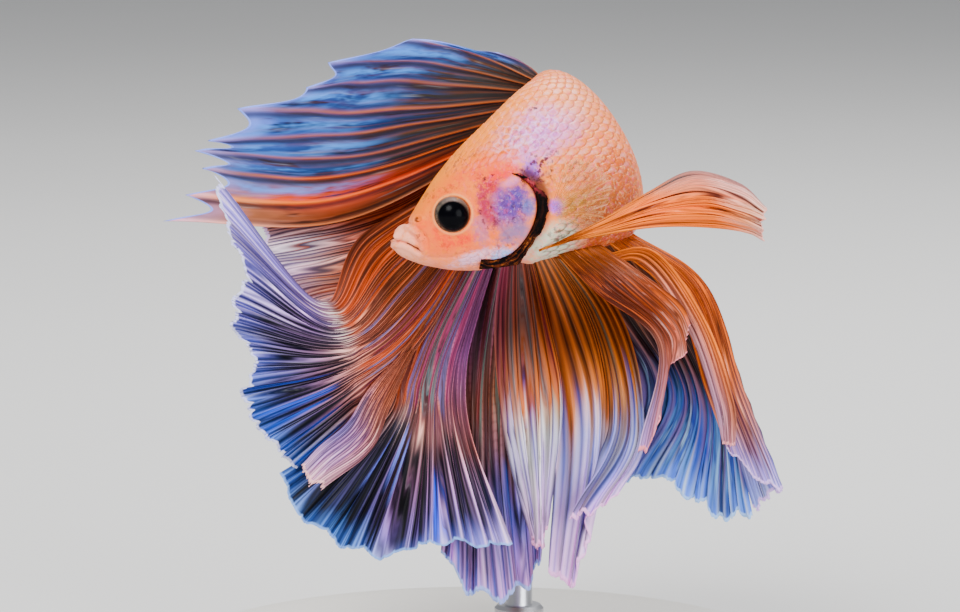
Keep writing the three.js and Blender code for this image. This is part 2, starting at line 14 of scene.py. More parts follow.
import bpy
import numpy as np
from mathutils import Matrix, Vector

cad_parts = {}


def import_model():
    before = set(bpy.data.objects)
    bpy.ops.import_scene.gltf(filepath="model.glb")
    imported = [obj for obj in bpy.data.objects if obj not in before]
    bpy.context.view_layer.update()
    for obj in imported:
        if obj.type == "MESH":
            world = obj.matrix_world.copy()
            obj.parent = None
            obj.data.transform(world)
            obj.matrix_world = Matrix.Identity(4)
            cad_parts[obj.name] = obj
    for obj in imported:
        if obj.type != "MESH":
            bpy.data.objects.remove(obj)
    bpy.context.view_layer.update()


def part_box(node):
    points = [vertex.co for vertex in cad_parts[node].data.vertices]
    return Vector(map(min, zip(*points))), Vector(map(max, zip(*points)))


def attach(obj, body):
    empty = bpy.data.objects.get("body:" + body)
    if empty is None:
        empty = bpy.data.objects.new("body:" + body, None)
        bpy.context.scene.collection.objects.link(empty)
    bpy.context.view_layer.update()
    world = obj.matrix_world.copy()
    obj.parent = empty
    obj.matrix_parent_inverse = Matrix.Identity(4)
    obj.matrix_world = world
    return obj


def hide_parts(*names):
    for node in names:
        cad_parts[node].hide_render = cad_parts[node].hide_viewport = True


Colour = tuple[float, float, float, float]
Point = tuple[float, float, float]
Keys = tuple[tuple[float, float], ...]

log = logging.getLogger("betta")

DEG = math.pi / 180
MM = 0.001
LEAN = 8 * DEG
LIFT = 34.8
SET_BACK = -6.0
BODY_LENGTH = 38.0


# ------------------------------------------------------------------------------ small mathematics
def shade(code: str, alpha: float = 1.0) -> Colour:
    """Linear colour of a six-figure screen colour such as "#f0a572"."""
    parts = [int(code[i:i + 2], 16) / 255 for i in (1, 3, 5)]
    red, green, blue = (c / 12.92 if c <= 0.04045 else ((c + 0.055) / 1.055) ** 2.4 for c in parts)
    return (red, green, blue, alpha)


def tint(code: str, light: float = 1.5) -> Colour:
    """Surface colour that is seen as the given screen colour in the studio's light.

    Bright colours lose depth in the final picture, so they are deepened here by as much.

    Args:
        code: the six-figure colour to be seen.
        light: how much light falls on the surface, as a share of plain daylight white.

    Returns:
        The linear colour for a material.
    """
    seen = shade(code)[:3]
    grey, top = sum(seen) / 3, max(seen)
    parts = []
    for part in seen:
        deep = min(0.93, max(0.001, part + 0.43 * (part - grey) * top ** 2.5))
        parts.append(min(1.0, 0.95 * deep / (1 - deep) ** 0.455 / light))
    return (parts[0], parts[1], parts[2], 1.0)


def smooth(value: np.ndarray | float) -> np.ndarray | float:
    """Ease from 0 to 1 as the value goes from 0 to 1."""
    held = np.clip(value, 0.0, 1.0)
    return held * held * (3 - 2 * held)


def bump(distance: np.ndarray, width: float) -> np.ndarray:
    """Bell curve of height 1 over a distance."""
    return np.exp(-((distance / width) ** 2))


def unit(vectors: np.ndarray) -> np.ndarray:
    """Vectors brought to length 1 along the last axis."""
    return vectors / np.maximum(np.linalg.norm(vectors, axis=-1, keepdims=True), 1e-12)


def keyed(keys: Keys, at: np.ndarray) -> np.ndarray:
    """Smooth curve through keyed values, flat beyond its ends."""
    table = np.asarray(keys, float)
    x, y = table[:, 0], table[:, 1]
    at = np.clip(np.asarray(at, float), x[0], x[-1])
    last = len(x) - 1
    i = np.clip(np.searchsorted(x, at, side="left") - 1, 0, last - 1)
    before = np.maximum(np.arange(last + 1) - 1, 0)
    after = np.minimum(np.arange(last + 1) + 1, last)
    slope = (y[after] - y[before]) / (x[after] - x[before])
    span = x[i + 1] - x[i]
    t = (at - x[i]) / span
    rise = t * t * (3 - 2 * t)
    start = t * (1 - t) ** 2 * slope[i]
    end = t * t * (t - 1) * slope[i + 1]
    return y[i] * (1 - rise) + y[i + 1] * rise + span * (start + end)


def through(a: np.ndarray, b: np.ndarray, c: np.ndarray, d: np.ndarray, t: np.ndarray) -> np.ndarray:
    """Cubic from b to c with neighbours a and d."""
    return 0.5 * (2 * b + (c - a) * t + (2 * a - 5 * b + 4 * c - d) * t ** 2
                  + (3 * b - a - 3 * c + d) * t ** 3)


def wander(at: np.ndarray, waves: float, seed: int) -> np.ndarray:
    """Irregular wave of about the given number of waves over 0 to 1, from -1 to 1."""
    rng = np.random.default_rng(seed)
    total = np.zeros_like(at)
    for share in (0.55, 1.0, 1.6):
        total = total + np.sin(2 * math.pi * (waves * share * at + rng.random())) / 2.2
    return np.clip(total, -1.2, 1.2)


def to_line(s: np.ndarray, h: np.ndarray, line: Keys) -> np.ndarray:
    """Distance of places (s, h) from a line of straight stretches."""
    nearest = np.full(np.shape(s), 1e9)
    for (s0, h0), (s1, h1) in zip(line, line[1:]):
        length = (s1 - s0) ** 2 + (h1 - h0) ** 2
        t = np.clip(((s - s0) * (s1 - s0) + (h - h0) * (h1 - h0)) / length, 0, 1)
        nearest = np.minimum(nearest, np.hypot(s - s0 - t * (s1 - s0), h - h0 - t * (h1 - h0)))
    return nearest


def to_row(points: np.ndarray) -> np.ndarray:
    """Points of the fish's own frame, in millimetres, as points of the row frame, in metres."""
    x, y, z = np.moveaxis(np.asarray(points, float), -1, 0)
    back = y * math.cos(LEAN) + z * math.sin(LEAN) + SET_BACK
    up = z * math.cos(LEAN) - y * math.sin(LEAN) + LIFT
    return np.stack([x, back, up], axis=-1) * MM


# ------------------------------------------------------------------------------------- mesh making
def make_piece(name: str, points: np.ndarray, faces: list, traits: dict[str, np.ndarray],
               uv: np.ndarray | None = None) -> bpy.types.Object:
    """A smooth mesh object.

    Args:
        name: the piece's name.
        points: its corners in the fish's own frame, in millimetres.
        faces: corner numbers of each face, seen from outside anticlockwise.
        traits: numbers kept on each corner for the finish to read.
        uv: a place for each corner in the OFBake map, if the piece has one.

    Returns:
        The object, linked into the scene.
    """
    mesh = bpy.data.meshes.new(name)
    mesh.from_pydata(to_row(points).tolist(), [], faces)
    for trait, values in traits.items():
        layer = mesh.attributes.new(trait, "FLOAT", "POINT")
        layer.data.foreach_set("value", np.asarray(values, np.float32).ravel())
    if uv is not None:
        corners = np.empty(len(mesh.loops), np.int32)
        mesh.loops.foreach_get("vertex_index", corners)
        spots = uv[corners].astype(np.float32)
        mesh.uv_layers.new(name="OFBake").data.foreach_set("uv", spots.ravel())
    mesh.polygons.foreach_set("use_smooth", [True] * len(mesh.polygons))
    mesh.update()
    piece = bpy.data.objects.new(name, mesh)
    bpy.context.scene.collection.objects.link(piece)
    return piece


def grid_faces(rows: int, columns: int, start: int = 0, flip: bool = False) -> list[list[int]]:
    """Quads of a grid of points stored row by row."""
    i, j = np.meshgrid(np.arange(rows - 1), np.arange(columns - 1), indexing="ij")
    a = (i * columns + j).ravel() + start
    quads = np.stack([a, a + columns, a + columns + 1, a + 1], axis=1)
    return (quads[:, ::-1] if flip else quads).tolist()


def shell_faces(rows: int, columns: int, start: int = 0) -> list[list[int]]:
    """Quads of a closed thin shell: a front grid, the back grid after it, and their rim."""
    size = rows * columns
    faces = grid_faces(rows, columns, start) + grid_faces(rows, columns, start + size, flip=True)
    node = np.arange(size).reshape(rows, columns) + start
    rim = np.concatenate([node[0, :-1], node[:-1, -1], node[-1, :0:-1], node[:0:-1, 0]])
    after = np.roll(rim, -1)
    return faces + np.stack([rim, after, after + size, rim + size], axis=1).tolist()


def ride(piece: bpy.types.Object, material: bpy.types.Material, slot: str, *nodes: str) -> None:
    """Finish a piece: dress it, set it on the root body and let it stand for its solids."""
    piece.data.materials.clear()
    piece.data.materials.append(material)
    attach(piece, "root")
    if nodes:
        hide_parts(*nodes)
    log.info("%s: %d faces for %s", piece.name, len(piece.data.polygons), ", ".join(nodes) or slot)


# ------------------------------------------------------------------------------------ shader maths
class Signal:
    """One output socket of a shader tree, with arithmetic that adds Math nodes."""

    def __init__(self, paint: "Paint", socket: bpy.types.NodeSocket) -> None:
        self.paint = paint
        self.socket = socket

    def math(self, operation: str, *values: "Signal | float") -> "Signal":
        """A Math node on this value and others."""
        inputs = dict(enumerate((self, *values)))
        return self.paint.node("ShaderNodeMath", {"operation": operation}, inputs)

    def turned(self, operation: str, first: float) -> "Signal":
        """A Math node with a number before this value."""
        return self.paint.node("ShaderNodeMath", {"operation": operation}, {0: first, 1: self})

    def __add__(self, other: "Signal | float") -> "Signal":
        return self.math("ADD", other)

    def __radd__(self, other: float) -> "Signal":
        return self.turned("ADD", other)

    def __sub__(self, other: "Signal | float") -> "Signal":
        return self.math("SUBTRACT", other)

    def __rsub__(self, other: float) -> "Signal":
        return self.turned("SUBTRACT", other)

    def __mul__(self, other: "Signal | float") -> "Signal":
        return self.math("MULTIPLY", other)

    def __rmul__(self, other: float) -> "Signal":
        return self.turned("MULTIPLY", other)

    def __abs__(self) -> "Signal":
        return self.math("ABSOLUTE")

    def ease(self, low: float, high: float) -> "Signal":
        """Smooth 0 to 1 as this value goes from low to high; low may be the larger."""
        ends = {0: self, 1: min(low, high), 2: max(low, high), 3: float(low > high),
                4: float(low < high)}
        return self.paint.node("ShaderNodeMapRange", {"interpolation_type": "SMOOTHSTEP"}, ends)

    def bell(self, width: float) -> "Signal":
        """Bell curve of height 1 over this value."""
        scaled = self * (1 / width)
        return (-1 * scaled * scaled).math("EXPONENT")

    def hypot(self, other: "Signal") -> "Signal":
        """Length of a line that runs this far one way and the other value square to it."""
        return (self * self + other * other).math("SQRT")


class Paint:
    """A material whose nodes are made one at a time."""

    def __init__(self, name: str, light: float = 1.5) -> None:
        self.light = light
        self.material = bpy.data.materials.new(name)
        self.material.use_nodes = True
        self.tree = self.material.node_tree
        self.tree.nodes.clear()

    def node(self, kind: str, settings: dict | None = None, values: dict | None = None,
             output: int = 0) -> Signal:
        """Add a node.

        Args:
            kind: the node's type.
            settings: its own settings, made first.
            values: numbers, colours or signals for its input sockets.
            output: which output socket is wanted.

        Returns:
            That output socket.
        """
        made = self.tree.nodes.new(kind)
        for key, value in (settings or {}).items():
            setattr(made, key, value)
        for key, value in (values or {}).items():
            if isinstance(value, Signal):
                self.tree.links.new(value.socket, made.inputs[key])
            else:
                made.inputs[key].default_value = value
        return Signal(self, made.outputs[output])

    def tint(self, code: str) -> Colour:
        """A surface colour for this material's share of the light."""
        return tint(code, self.light)

    def trait(self, name: str) -> Signal:
        """A number kept on the mesh's corners."""
        return self.node("ShaderNodeAttribute", {"attribute_name": name}, output=2)

    def ramp(self, value: Signal, stops: str) -> Signal:
        """Colour from a ramp of stops, each a place from 0 to 1, then six colour figures."""
        colour = self.node("ShaderNodeValToRGB", values={0: value})
        elements = colour.socket.node.color_ramp.elements
        words = stops.split()
        while len(elements) < len(words) // 2:
            elements.new(0.5)
        for element, place, code in zip(elements, words[::2], words[1::2]):
            element.position = float(place)
            element.color = self.tint("#" + code)
        return colour

    def mix(self, first: "Signal | Colour", second: "Signal | Colour",
            share: "Signal | float") -> Signal:
        """Two colours mixed by a share."""
        values = {0: share, 6: first, 7: second}
        return self.node("ShaderNodeMix", {"data_type": "RGBA"}, values, output=2)

    def over(self, below: Signal, code: str, share: "Signal | float") -> Signal:
        """A colour laid over what is there already, by a share."""
        return self.mix(below, self.tint(code), share)

    def place(self) -> Signal:
        """The place on the object, in millimetres, as a vector."""
        spot = self.node("ShaderNodeTexCoord", output=3)
        return self.node("ShaderNodeVectorMath", {"operation": "SCALE"}, {0: spot, "Scale": 1 / MM})

    def vector(self, x: "Signal | float", y: "Signal | float", z: "Signal | float" = 0.0) -> Signal:
        """A vector from three numbers."""
        return self.node("ShaderNodeCombineXYZ", values={0: x, 1: y, 2: z})

    def shifted(self, at: Signal, by: float) -> Signal:
        """The same position moved off, for noise of its own."""
        offset = (by, by * 0.6, -by)
        return self.node("ShaderNodeVectorMath", {"operation": "ADD"}, {0: at, 1: offset})

    def noise(self, at: Signal, scale: float, detail: float = 2.0, roughness: float = 0.5) -> Signal:
        """Cloudy noise from 0 to 1."""
        return self.node("ShaderNodeTexNoise", values={
            "Vector": at, "Scale": scale, "Detail": detail, "Roughness": roughness})

    def chance(self, number: Signal) -> Signal:
        """A random number from 0 to 1 for each whole number."""
        return self.node("ShaderNodeTexWhiteNoise", {"noise_dimensions": "1D"}, {"W": number})

    def cells(self, at: Signal, scale: float) -> Signal:
        """Distance to the nearest of scattered points, in cells."""
        return self.node("ShaderNodeTexVoronoi", values={"Vector": at, "Scale": scale})

    def seams(self, at: Signal, scale: float) -> Signal:
        """Distance to the nearest border between cells round scattered points."""
        settings = {"feature": "DISTANCE_TO_EDGE"}
        return self.node("ShaderNodeTexVoronoi", settings, {"Vector": at, "Scale": scale})

    def height(self, value: Signal, depth: float, strength: float = 1.0) -> Signal:
        """A normal bumped by a height, with its depth in millimetres."""
        return self.node("ShaderNodeBump", values={
            "Strength": strength, "Distance": depth * MM, "Height": value})

    def finish(self, **values: "Signal | Colour | float") -> bpy.types.Material:
        """Close the tree with a Principled surface; a word's underscores stand for spaces."""
        named = {key.replace("_", " "): value for key, value in values.items()}
        surface = self.node("ShaderNodeBsdfPrincipled", values=named)
        output = self.tree.nodes.new("ShaderNodeOutputMaterial")
        self.tree.links.new(surface.socket, output.inputs["Surface"])
        return self.material


# --------------------------------------------------------------------------------------- body form
@dataclass(frozen=True)
class Eye:
    """Where an eye sits on the head, and its size."""

    along: float = 5.75
    height: float = 0.28
    radius: float = 1.62
    flat: float = 0.93
    dome: float = 0.12
    sunk: float = 0.76
    pupil: float = 1.22
    socket: float = 1.54
    lid: float = 1.66
    hollow: float = 2.0
    look: tuple[float, float] = (0.13, 0.17)


@dataclass(frozen=True)
class GillFlap:
    """The dark skin flap behind each gill cover, as a band of arc on the flank."""

    along: float = 8.65
    height: float = -0.9
    inner: float = 3.5
    outer: float = 4.78
    plate: float = 1.9
    ridge: float = 5.3
    start: float = -121.0
    end: float = 44.0
    fade: float = 16.0

    def reach(self, s: np.ndarray, h: np.ndarray) -> tuple[np.ndarray, np.ndarray]:
        """Distance from the arc's centre, and how fully the arc's sweep covers that place."""
        angle = np.arctan2(h - self.height, s - self.along) / DEG
        cover = smooth((angle - self.start) / self.fade) * smooth((self.end - angle) / self.fade)
        return np.hypot(s - self.along, h - self.height), cover


@dataclass(frozen=True)
class BodyForm:
    """The bent body: its spine, its sections and the relief of the head."""

    snout: Point = (-7.6, -4.5, 5.5)
    pitch: float = 19 * DEG
    bend: tuple[float, float, float] = (9.4, 27.5, 120 * DEG)
    up_keys: Keys = ((0, .16), (.35, .3), (.6, .42), (.9, .6), (1.25, .74), (1.6, .8), (1.9, .92),
                     (2.2, 1.25), (2.75, 1.75), (4.2, 2.92), (5.5, 3.9), (8, 5.35), (11.2, 6.7),
                     (14.5, 7.85), (18, 8.4), (21, 8.4), (25, 7.2), (30, 5.1), (34, 3.9),
                     (38, 3.5))
    down_keys: Keys = ((0, .5), (.35, 1.4), (1.7, 2.65), (2.8, 3.35), (4.2, 4.1), (6.2, 4.8),
                       (9, 5.5), (12.8, 6.2), (16, 6.9), (20, 7.4), (24, 6.8), (30, 5), (34, 3.9),
                       (38, 3.5))
    wide_keys: Keys = ((0, .3), (.35, .9), (1.2, 1.4), (2.6, 2), (5, 2.75), (8, 3.35), (12, 3.8),
                       (17, 4), (22, 3.7), (28, 2.6), (34, 1.6), (38, .5))
    rise_keys: Keys = ((0, 0), (9, .1), (14, .5), (20, 1), (28, 1.8), (38, 2.2))
    twist_keys: Keys = ((0, 0), (10, 0), (14, 3), (19, 8), (25, 7), (32, 3), (38, 2))
    mouth: Keys = ((-.3, -.2), (.4, -.26), (.8, -.42), (1.29, -.75), (1.7, -1.2), (2.11, -1.74))
    upper_lip: Keys = ((.62, .1), (.85, .5), (1.25, .72), (1.6, .68), (2.0, .3), (2.4, -.34),
                       (2.6, -1.0), (2.38, -1.6))
    lip_fold: Keys = ((1.3, -.36), (1.75, -.42), (2.2, -.7))
    jaw: Keys = ((2.5, -2.4), (4.2, -3.0), (6.6, -3.3), (8.4, -3.9))
    nostril: tuple[float, float] = (2.85, .86)
    cheek_step: tuple[float, float] = (9.4, -1.2)
    steps: int = 400

    def heading(self, s: np.ndarray) -> np.ndarray:
        """How far the spine has turned away from the head's line."""
        start, end, angle = self.bend
        return angle * smooth((s - start) / (end - start))

    def spine(self, s: np.ndarray) -> tuple[np.ndarray, np.ndarray, np.ndarray, np.ndarray]:
        """Point, tail-ward, crest-ward and right-hand directions at distances from the snout."""
        s = np.asarray(s, float)
        step = BODY_LENGTH / self.steps
        turn = self.heading((np.arange(self.steps) + 0.5) * step)
        marks = np.arange(self.steps + 1) * step
        run = np.interp(s, marks, np.concatenate([[0], np.cumsum(np.cos(turn) * step)]))
        back = np.interp(s, marks, np.concatenate([[0], np.cumsum(np.sin(turn) * step)]))
        axis = np.array([math.cos(self.pitch), 0, math.sin(self.pitch)])
        crest = np.array([-math.sin(self.pitch), 0, math.cos(self.pitch)])
        away = np.array([0.0, 1.0, 0.0])
        point = (np.array(self.snout) + axis * run[..., None] + away * back[..., None]
                 + crest * keyed(self.rise_keys, s)[..., None])
        angle = self.heading(s)[..., None]
        tail = axis * np.cos(angle) + away * np.sin(angle)
        roll = keyed(self.twist_keys, s)[..., None] * DEG
        up = crest * np.cos(roll) + np.cross(crest, tail) * np.sin(roll)
        return point, tail, up, np.cross(up, tail)

    def tall(self, s: np.ndarray, above: np.ndarray) -> np.ndarray:
        """Height of the section over the spine, or its depth under it."""
        return np.where(above, keyed(self.up_keys, s), keyed(self.down_keys, s))

    def smooth_skin(self, s: np.ndarray, angle: np.ndarray, grow: float = 0.0) -> np.ndarray:
        """Plain surface of the body: angle 0 is the right flank and a quarter turn the crest."""
        point, _, up, right = self.spine(s)
        tall = (self.tall(s, np.sin(angle) > 0) + grow) * np.sin(angle)
        wide = (keyed(self.wide_keys, s) + grow) * np.cos(angle)
        return point + right * wide[..., None] + up * tall[..., None]

    def flank(self, s: np.ndarray, height: np.ndarray, side: float,
              out: np.ndarray | float) -> np.ndarray:
        """Point on a flank at a height over the spine; side is 1 on the right, -1 on the left."""
        point, _, up, right = self.spine(s)
        tall = self.tall(s, height > 0)
        wide = keyed(self.wide_keys, s) * np.sqrt(np.maximum(0, 1 - (height / tall) ** 2)) + out
        return point + right * (side * wide)[..., None] + up * np.asarray(height)[..., None]

    def normal(self, s: np.ndarray, angle: np.ndarray) -> np.ndarray:
        """Outward direction of the plain surface."""
        small = 1e-3
        here = self.smooth_skin(s, angle)
        along = self.smooth_skin(np.minimum(s + small, BODY_LENGTH), angle)
        round_it = self.smooth_skin(s, angle + small)
        if np.any(s >= BODY_LENGTH - small):
            before = self.smooth_skin(s - small, angle)
            along = np.where((s >= BODY_LENGTH - small)[..., None], 2 * here - before, along)
        return unit(np.cross(round_it - here, along - here))

    def relief(self, s: np.ndarray, h: np.ndarray) -> np.ndarray:
        """How far the real skin stands out from the plain surface, in millimetres."""
        return self.eye_relief(s, h) + self.gill_relief(s, h) + self.mouth_relief(s, h)

    @staticmethod
    def eye_relief(s: np.ndarray, h: np.ndarray) -> np.ndarray:
        """The lid's rim, the hollow round it and the eye's socket."""
        eye = Eye()
        d = np.hypot(s - eye.along, h - eye.height)
        rim = 0.035 * bump(d - eye.lid, 0.14) - 0.05 * bump(d - eye.hollow, 0.25)
        return rim - 0.6 * smooth((eye.socket - d) / 0.25)

    def gill_relief(self, s: np.ndarray, h: np.ndarray) -> np.ndarray:
        """The gill cover with the step on it, the groove behind it and the ridge beyond that."""
        gill = GillFlap()
        r, cover = gill.reach(s, h)
        edge = smooth((r - gill.inner) / 0.12)
        plate = smooth((r - gill.plate) / 1.5) * (1 - edge)
        groove = edge * (1 - smooth((r - 4.75) / 0.5))
        out = cover * (0.2 * plate - 0.26 * groove + 0.07 * bump(r - gill.ridge, 0.35))
        d = np.hypot(s - self.cheek_step[0], h - self.cheek_step[1])
        facing = smooth((self.cheek_step[0] + 0.5 - s) / 1.2)
        return out + (0.04 * bump(d - 2.3, 0.2) - 0.07 * bump(d - 2.0, 0.14)) * facing

    def mouth_relief(self, s: np.ndarray, h: np.ndarray) -> np.ndarray:
        """The slit of the mouth, the upper lip, the nostril's rim and the line of the jaw."""
        slit = to_line(s, h, self.mouth)
        lip = to_line(s, h, self.upper_lip)
        out = 0.1 * bump(slit - 0.34, 0.2) - 0.26 * bump(slit, 0.1) * smooth((2.35 - s) / 0.3)
        out = out + 0.17 * bump(lip, 0.17) - 0.12 * bump(lip - 0.4, 0.14) * smooth((h + 2) / 0.6)
        out = out - 0.28 * smooth((0.6 - s) / 0.3) * smooth((h + 0.2) / 0.15)
        hole = self.from_nostril(s, h)
        out = out + 0.08 * bump(hole - 0.3, 0.09) - 0.16 * bump(hole - 0.05, 0.16)
        return out - 0.05 * bump(to_line(s, h, self.jaw), 0.14)

    def from_nostril(self, s: np.ndarray, h: np.ndarray) -> np.ndarray:
        """Distance from the nostril, which is a quarter longer than it is high."""
        return np.hypot((s - self.nostril[0]) / 1.25, h - self.nostril[1])

    def crease_shade(self, s: np.ndarray, h: np.ndarray) -> np.ndarray:
        """Painted shade in the folds: the mouth, the nostril and under the gill cover's edge."""
        corner, whole = to_line(s, h, self.mouth[3:]), to_line(s, h, self.mouth)
        slit = 0.9 * bump(corner, 0.08) + 0.16 * bump(whole, 0.06)
        fold = 0.3 * bump(to_line(s, h, self.lip_fold), 0.07)
        hole = bump(self.from_nostril(s, h) - 0.17, 0.08)
        hole = hole * smooth((self.nostril[0] + 0.12 - s) / 0.2)
        r, cover = GillFlap().reach(s, h)
        return np.clip(slit + fold + hole + cover * bump(r - 4.0, 0.55), 0, 1)

    def skin(self, s: np.ndarray, angle: np.ndarray, lift: np.ndarray | float = 0.0) -> np.ndarray:
        """Surface of the body with its relief, moved out by a lift."""
        height = self.tall(s, np.sin(angle) > 0) * np.sin(angle)
        move = self.relief(s, height) + lift
        return self.smooth_skin(s, angle) + self.normal(s, angle) * move[..., None]

    def traits(self, s: np.ndarray, angle: np.ndarray) -> dict[str, np.ndarray]:
        """What the skin's finish reads on each corner."""
        rise = np.sin(angle)
        height = self.tall(s, rise > 0) * rise
        return {"lengthwise": s, "height": height, "rise": rise, "crease_shade": self.crease_shade(s, height)}

    def perimeter(self, s: np.ndarray) -> np.ndarray:
        """Rough length round the section."""
        a = (keyed(self.up_keys, s) + keyed(self.down_keys, s)) / 2
        b = keyed(self.wide_keys, s)
        return math.pi * (3 * (a + b) - np.sqrt((3 * a + b) * (a + 3 * b)))


# ------------------------------------------------------------------------------------ skin finish
@dataclass(frozen=True)
class Patch:
    """A soft patch of colour on both flanks."""

    along: float
    height: float
    length: float
    tall: float
    code: str
    strength: float = 1.0


@dataclass(frozen=True)
class SkinFinish:
    """Wet scaled skin with its markings, the same on the skin and on the scales over it."""

    patches: tuple[Patch, ...] = (
        Patch(13.6, 3.8, 4.6, 3.0, "#d498d0", 0.85),
        Patch(18.5, 5.5, 5.0, 4.0, "#f8a880", 0.8),
        Patch(12.5, 8.2, 5.0, 1.6, "#f8a474", 0.85),
        Patch(17.0, -2.6, 4.2, 3.6, "#c86c30", 0.85),
        Patch(15.2, -3.6, 2.4, 2.0, "#b0742c", 0.75),
        Patch(10.2, 3.4, 3.0, 1.4, "#ff9410", 1.0),
        Patch(6.8, 3.4, 3.8, 2.0, "#fc8c10", 0.95),
        Patch(3.8, 1.8, 2.2, 1.1, "#f89030", 0.85),
        Patch(11.4, 5.2, 2.4, 1.5, "#f8983c", 0.8),
        Patch(9.4, 3.0, 3.4, 1.3, "#ff7c00", 0.9),
        Patch(5.0, 2.3, 2.0, 0.7, "#ff8400", 0.6),
        Patch(17.0, -6.2, 4.6, 2.6, "#c06428", 0.95),
        Patch(10.4, 1.9, 1.9, 0.9, "#e04c18", 1.0),
        Patch(9.9, -0.7, 2.5, 2.9, "#a4609c", 1.0),
        Patch(9.2, 1.4, 1.2, 1.0, "#c02c44", 1.0),
        Patch(8.6, -0.2, 1.0, 2.4, "#b42c50", 1.0),
        Patch(7.4, -1.9, 1.1, 2.0, "#c07890", 0.9),
        Patch(10.8, -0.6, 1.7, 1.8, "#6440a0", 1.0),
        Patch(11.5, -1.5, 0.7, 1.3, "#6870b4", 0.9),
        Patch(10.0, -3.0, 2.1, 1.3, "#98789c", 0.95),
        Patch(11.0, 1.0, 0.9, 0.5, "#d894c0", 0.6),
        Patch(5.7, -2.0, 1.9, 0.7, "#dc4c14", 0.85),
        Patch(4.2, -1.0, 1.0, 1.2, "#e8642c", 0.85),
        Patch(3.1, 0.3, 0.9, 0.6, "#e87040", 0.7),
        Patch(6.2, -3.7, 2.9, 0.7, "#d8bccc", 0.85),
        Patch(8.6, -4.3, 1.9, 0.8, "#a0c0dc", 0.9),
        Patch(12.6, 1.2, 0.9, 1.3, "#a070d0", 0.85),
        Patch(13.25, -2.5, 0.6, 0.85, "#bc78e0", 1.0),
        Patch(12.3, -5.3, 3.0, 2.3, "#c8c8b8", 1.0),
        Patch(14.2, -2.6, 1.4, 1.4, "#b08c34", 0.7),
        Patch(14.3, -0.6, 1.6, 2.4, "#e09858", 0.7),
    )
    lips: str = "#f0b4a0"
    forehead: str = "#fc9420"
    cheek: str = "#e08050"
    flank: str = "#f09868"
    belly: str = "#dca084"
    light: float = 1.4

    def patch(self, s: Signal, h: Signal, patch: Patch, wobble: "Signal | float") -> Signal:
        """How strongly a patch shows at a place."""
        across = (s - patch.along) * (1 / patch.length)
        up = (h - patch.height) * (1 / patch.tall)
        away = across.hypot(up) + wobble
        return away.ease(1.0, 0.3) * patch.strength

    def markings(self, paint: Paint) -> tuple[Signal, Signal]:
        """The colour of the skin, and the cloudy noise that breaks it up."""
        s, h, rise = paint.trait("lengthwise"), paint.trait("height"), paint.trait("rise")
        at = paint.place()
        cloud = paint.noise(at, 0.9, 4.0, 0.6)
        fine = paint.noise(at, 3.4, 3.0, 0.65)
        cover = self.patch(s, h, Patch(10.2, -1.2, 3.0, 3.6, "#ffffff"), 0.0)
        wobble = (cloud - 0.5) * 1.0 + (fine - 0.5) * (0.9 - cover * 0.6)
        plain = 1 - cover * 0.9
        upper = (rise + wobble * 0.3).ease(-0.1, 0.75)
        head = paint.mix(paint.tint(self.cheek), paint.tint(self.forehead), upper)
        colour = paint.over(head, self.flank, s.ease(9.5, 13.5))
        colour = paint.over(colour, self.belly, rise.ease(-0.55, -0.95))
        colour = paint.over(colour, self.lips, (s + wobble).ease(3.0, 1.4))
        for patch in self.patches:
            colour = paint.over(colour, patch.code, self.patch(s, h, patch, wobble))
        mottle = cloud * 0.5 + fine * 0.5
        colour = paint.over(colour, "#ffdcc4", fine.ease(0.52, 0.66) * s.ease(10, 15) * 0.3)
        rust = mottle.ease(0.47, 0.36) * s.ease(1.5, 4) * s.ease(13, 10)
        colour = paint.over(colour, "#c84418", rust * plain * 0.45)
        rosy = paint.noise(paint.shifted(at, 11.0), 2.6, 3.0, 0.65)
        colour = paint.over(colour, "#e0709c", rosy.ease(0.53, 0.63) * s.ease(6, 9) * plain * 0.35)
        gold = paint.noise(paint.shifted(at, 23.0), 2.2, 3.0, 0.65)
        colour = paint.over(colour, "#ff9c28", gold.ease(0.5, 0.62) * s.ease(14, 9) * plain * 0.45)
        # painted highlight along the crest of the head, where light from above falls
        crest_highlight = rise.ease(0.6, 0.97) * s.ease(2, 4) * s.ease(17, 12)
        colour = paint.over(colour, "#ffa840", crest_highlight * 0.65)
        colour = self.gill_cover(paint, colour, s, h, at)
        colour = self.netting(paint, colour, s, h, at)
        lid = (s - Eye().along).hypot(h - Eye().height)
        colour = paint.over(colour, "#f0b488", (lid - (Eye().lid - 0.02)).bell(0.12) * 0.6)
        return self.freckles(paint, colour, s, h, at), mottle

    def gill_cover(self, paint: Paint, colour: Signal, s: Signal, h: Signal, at: Signal) -> Signal:
        """Small violet, blue and rose flecks over the gill cover."""
        zone = self.patch(s, h, Patch(10.2, -1.0, 2.6, 3.0, "#ffffff"), paint.noise(at, 2.0) * 0.3)
        flecks = (("#7c48a8", 1.2, 0.54), ("#7468b4", 1.5, 0.6), ("#c85c88", 1.4, 0.6),
                  ("#d0a8cc", 3.4, 0.6), ("#5c3054", 3.8, 0.58), ("#a08890", 2.4, 0.6))
        for number, (code, scale, start) in enumerate(flecks):
            spots = paint.noise(paint.shifted(at, number * 7.0 + 3), scale, 3.0, 0.6)
            spots = spots.ease(start - 0.05, start + 0.06)
            colour = paint.over(colour, code, spots * zone * 0.4)
        bow = (h + 0.6) * (h + 0.6) * -0.09
        step = (s - 9.0 + bow + (paint.noise(at, 1.6) - 0.5) * 0.3).bell(0.09)
        return paint.over(colour, "#a06078", step * h.ease(-3.6, -2.6) * h.ease(1.0, 0.2) * 0.5)

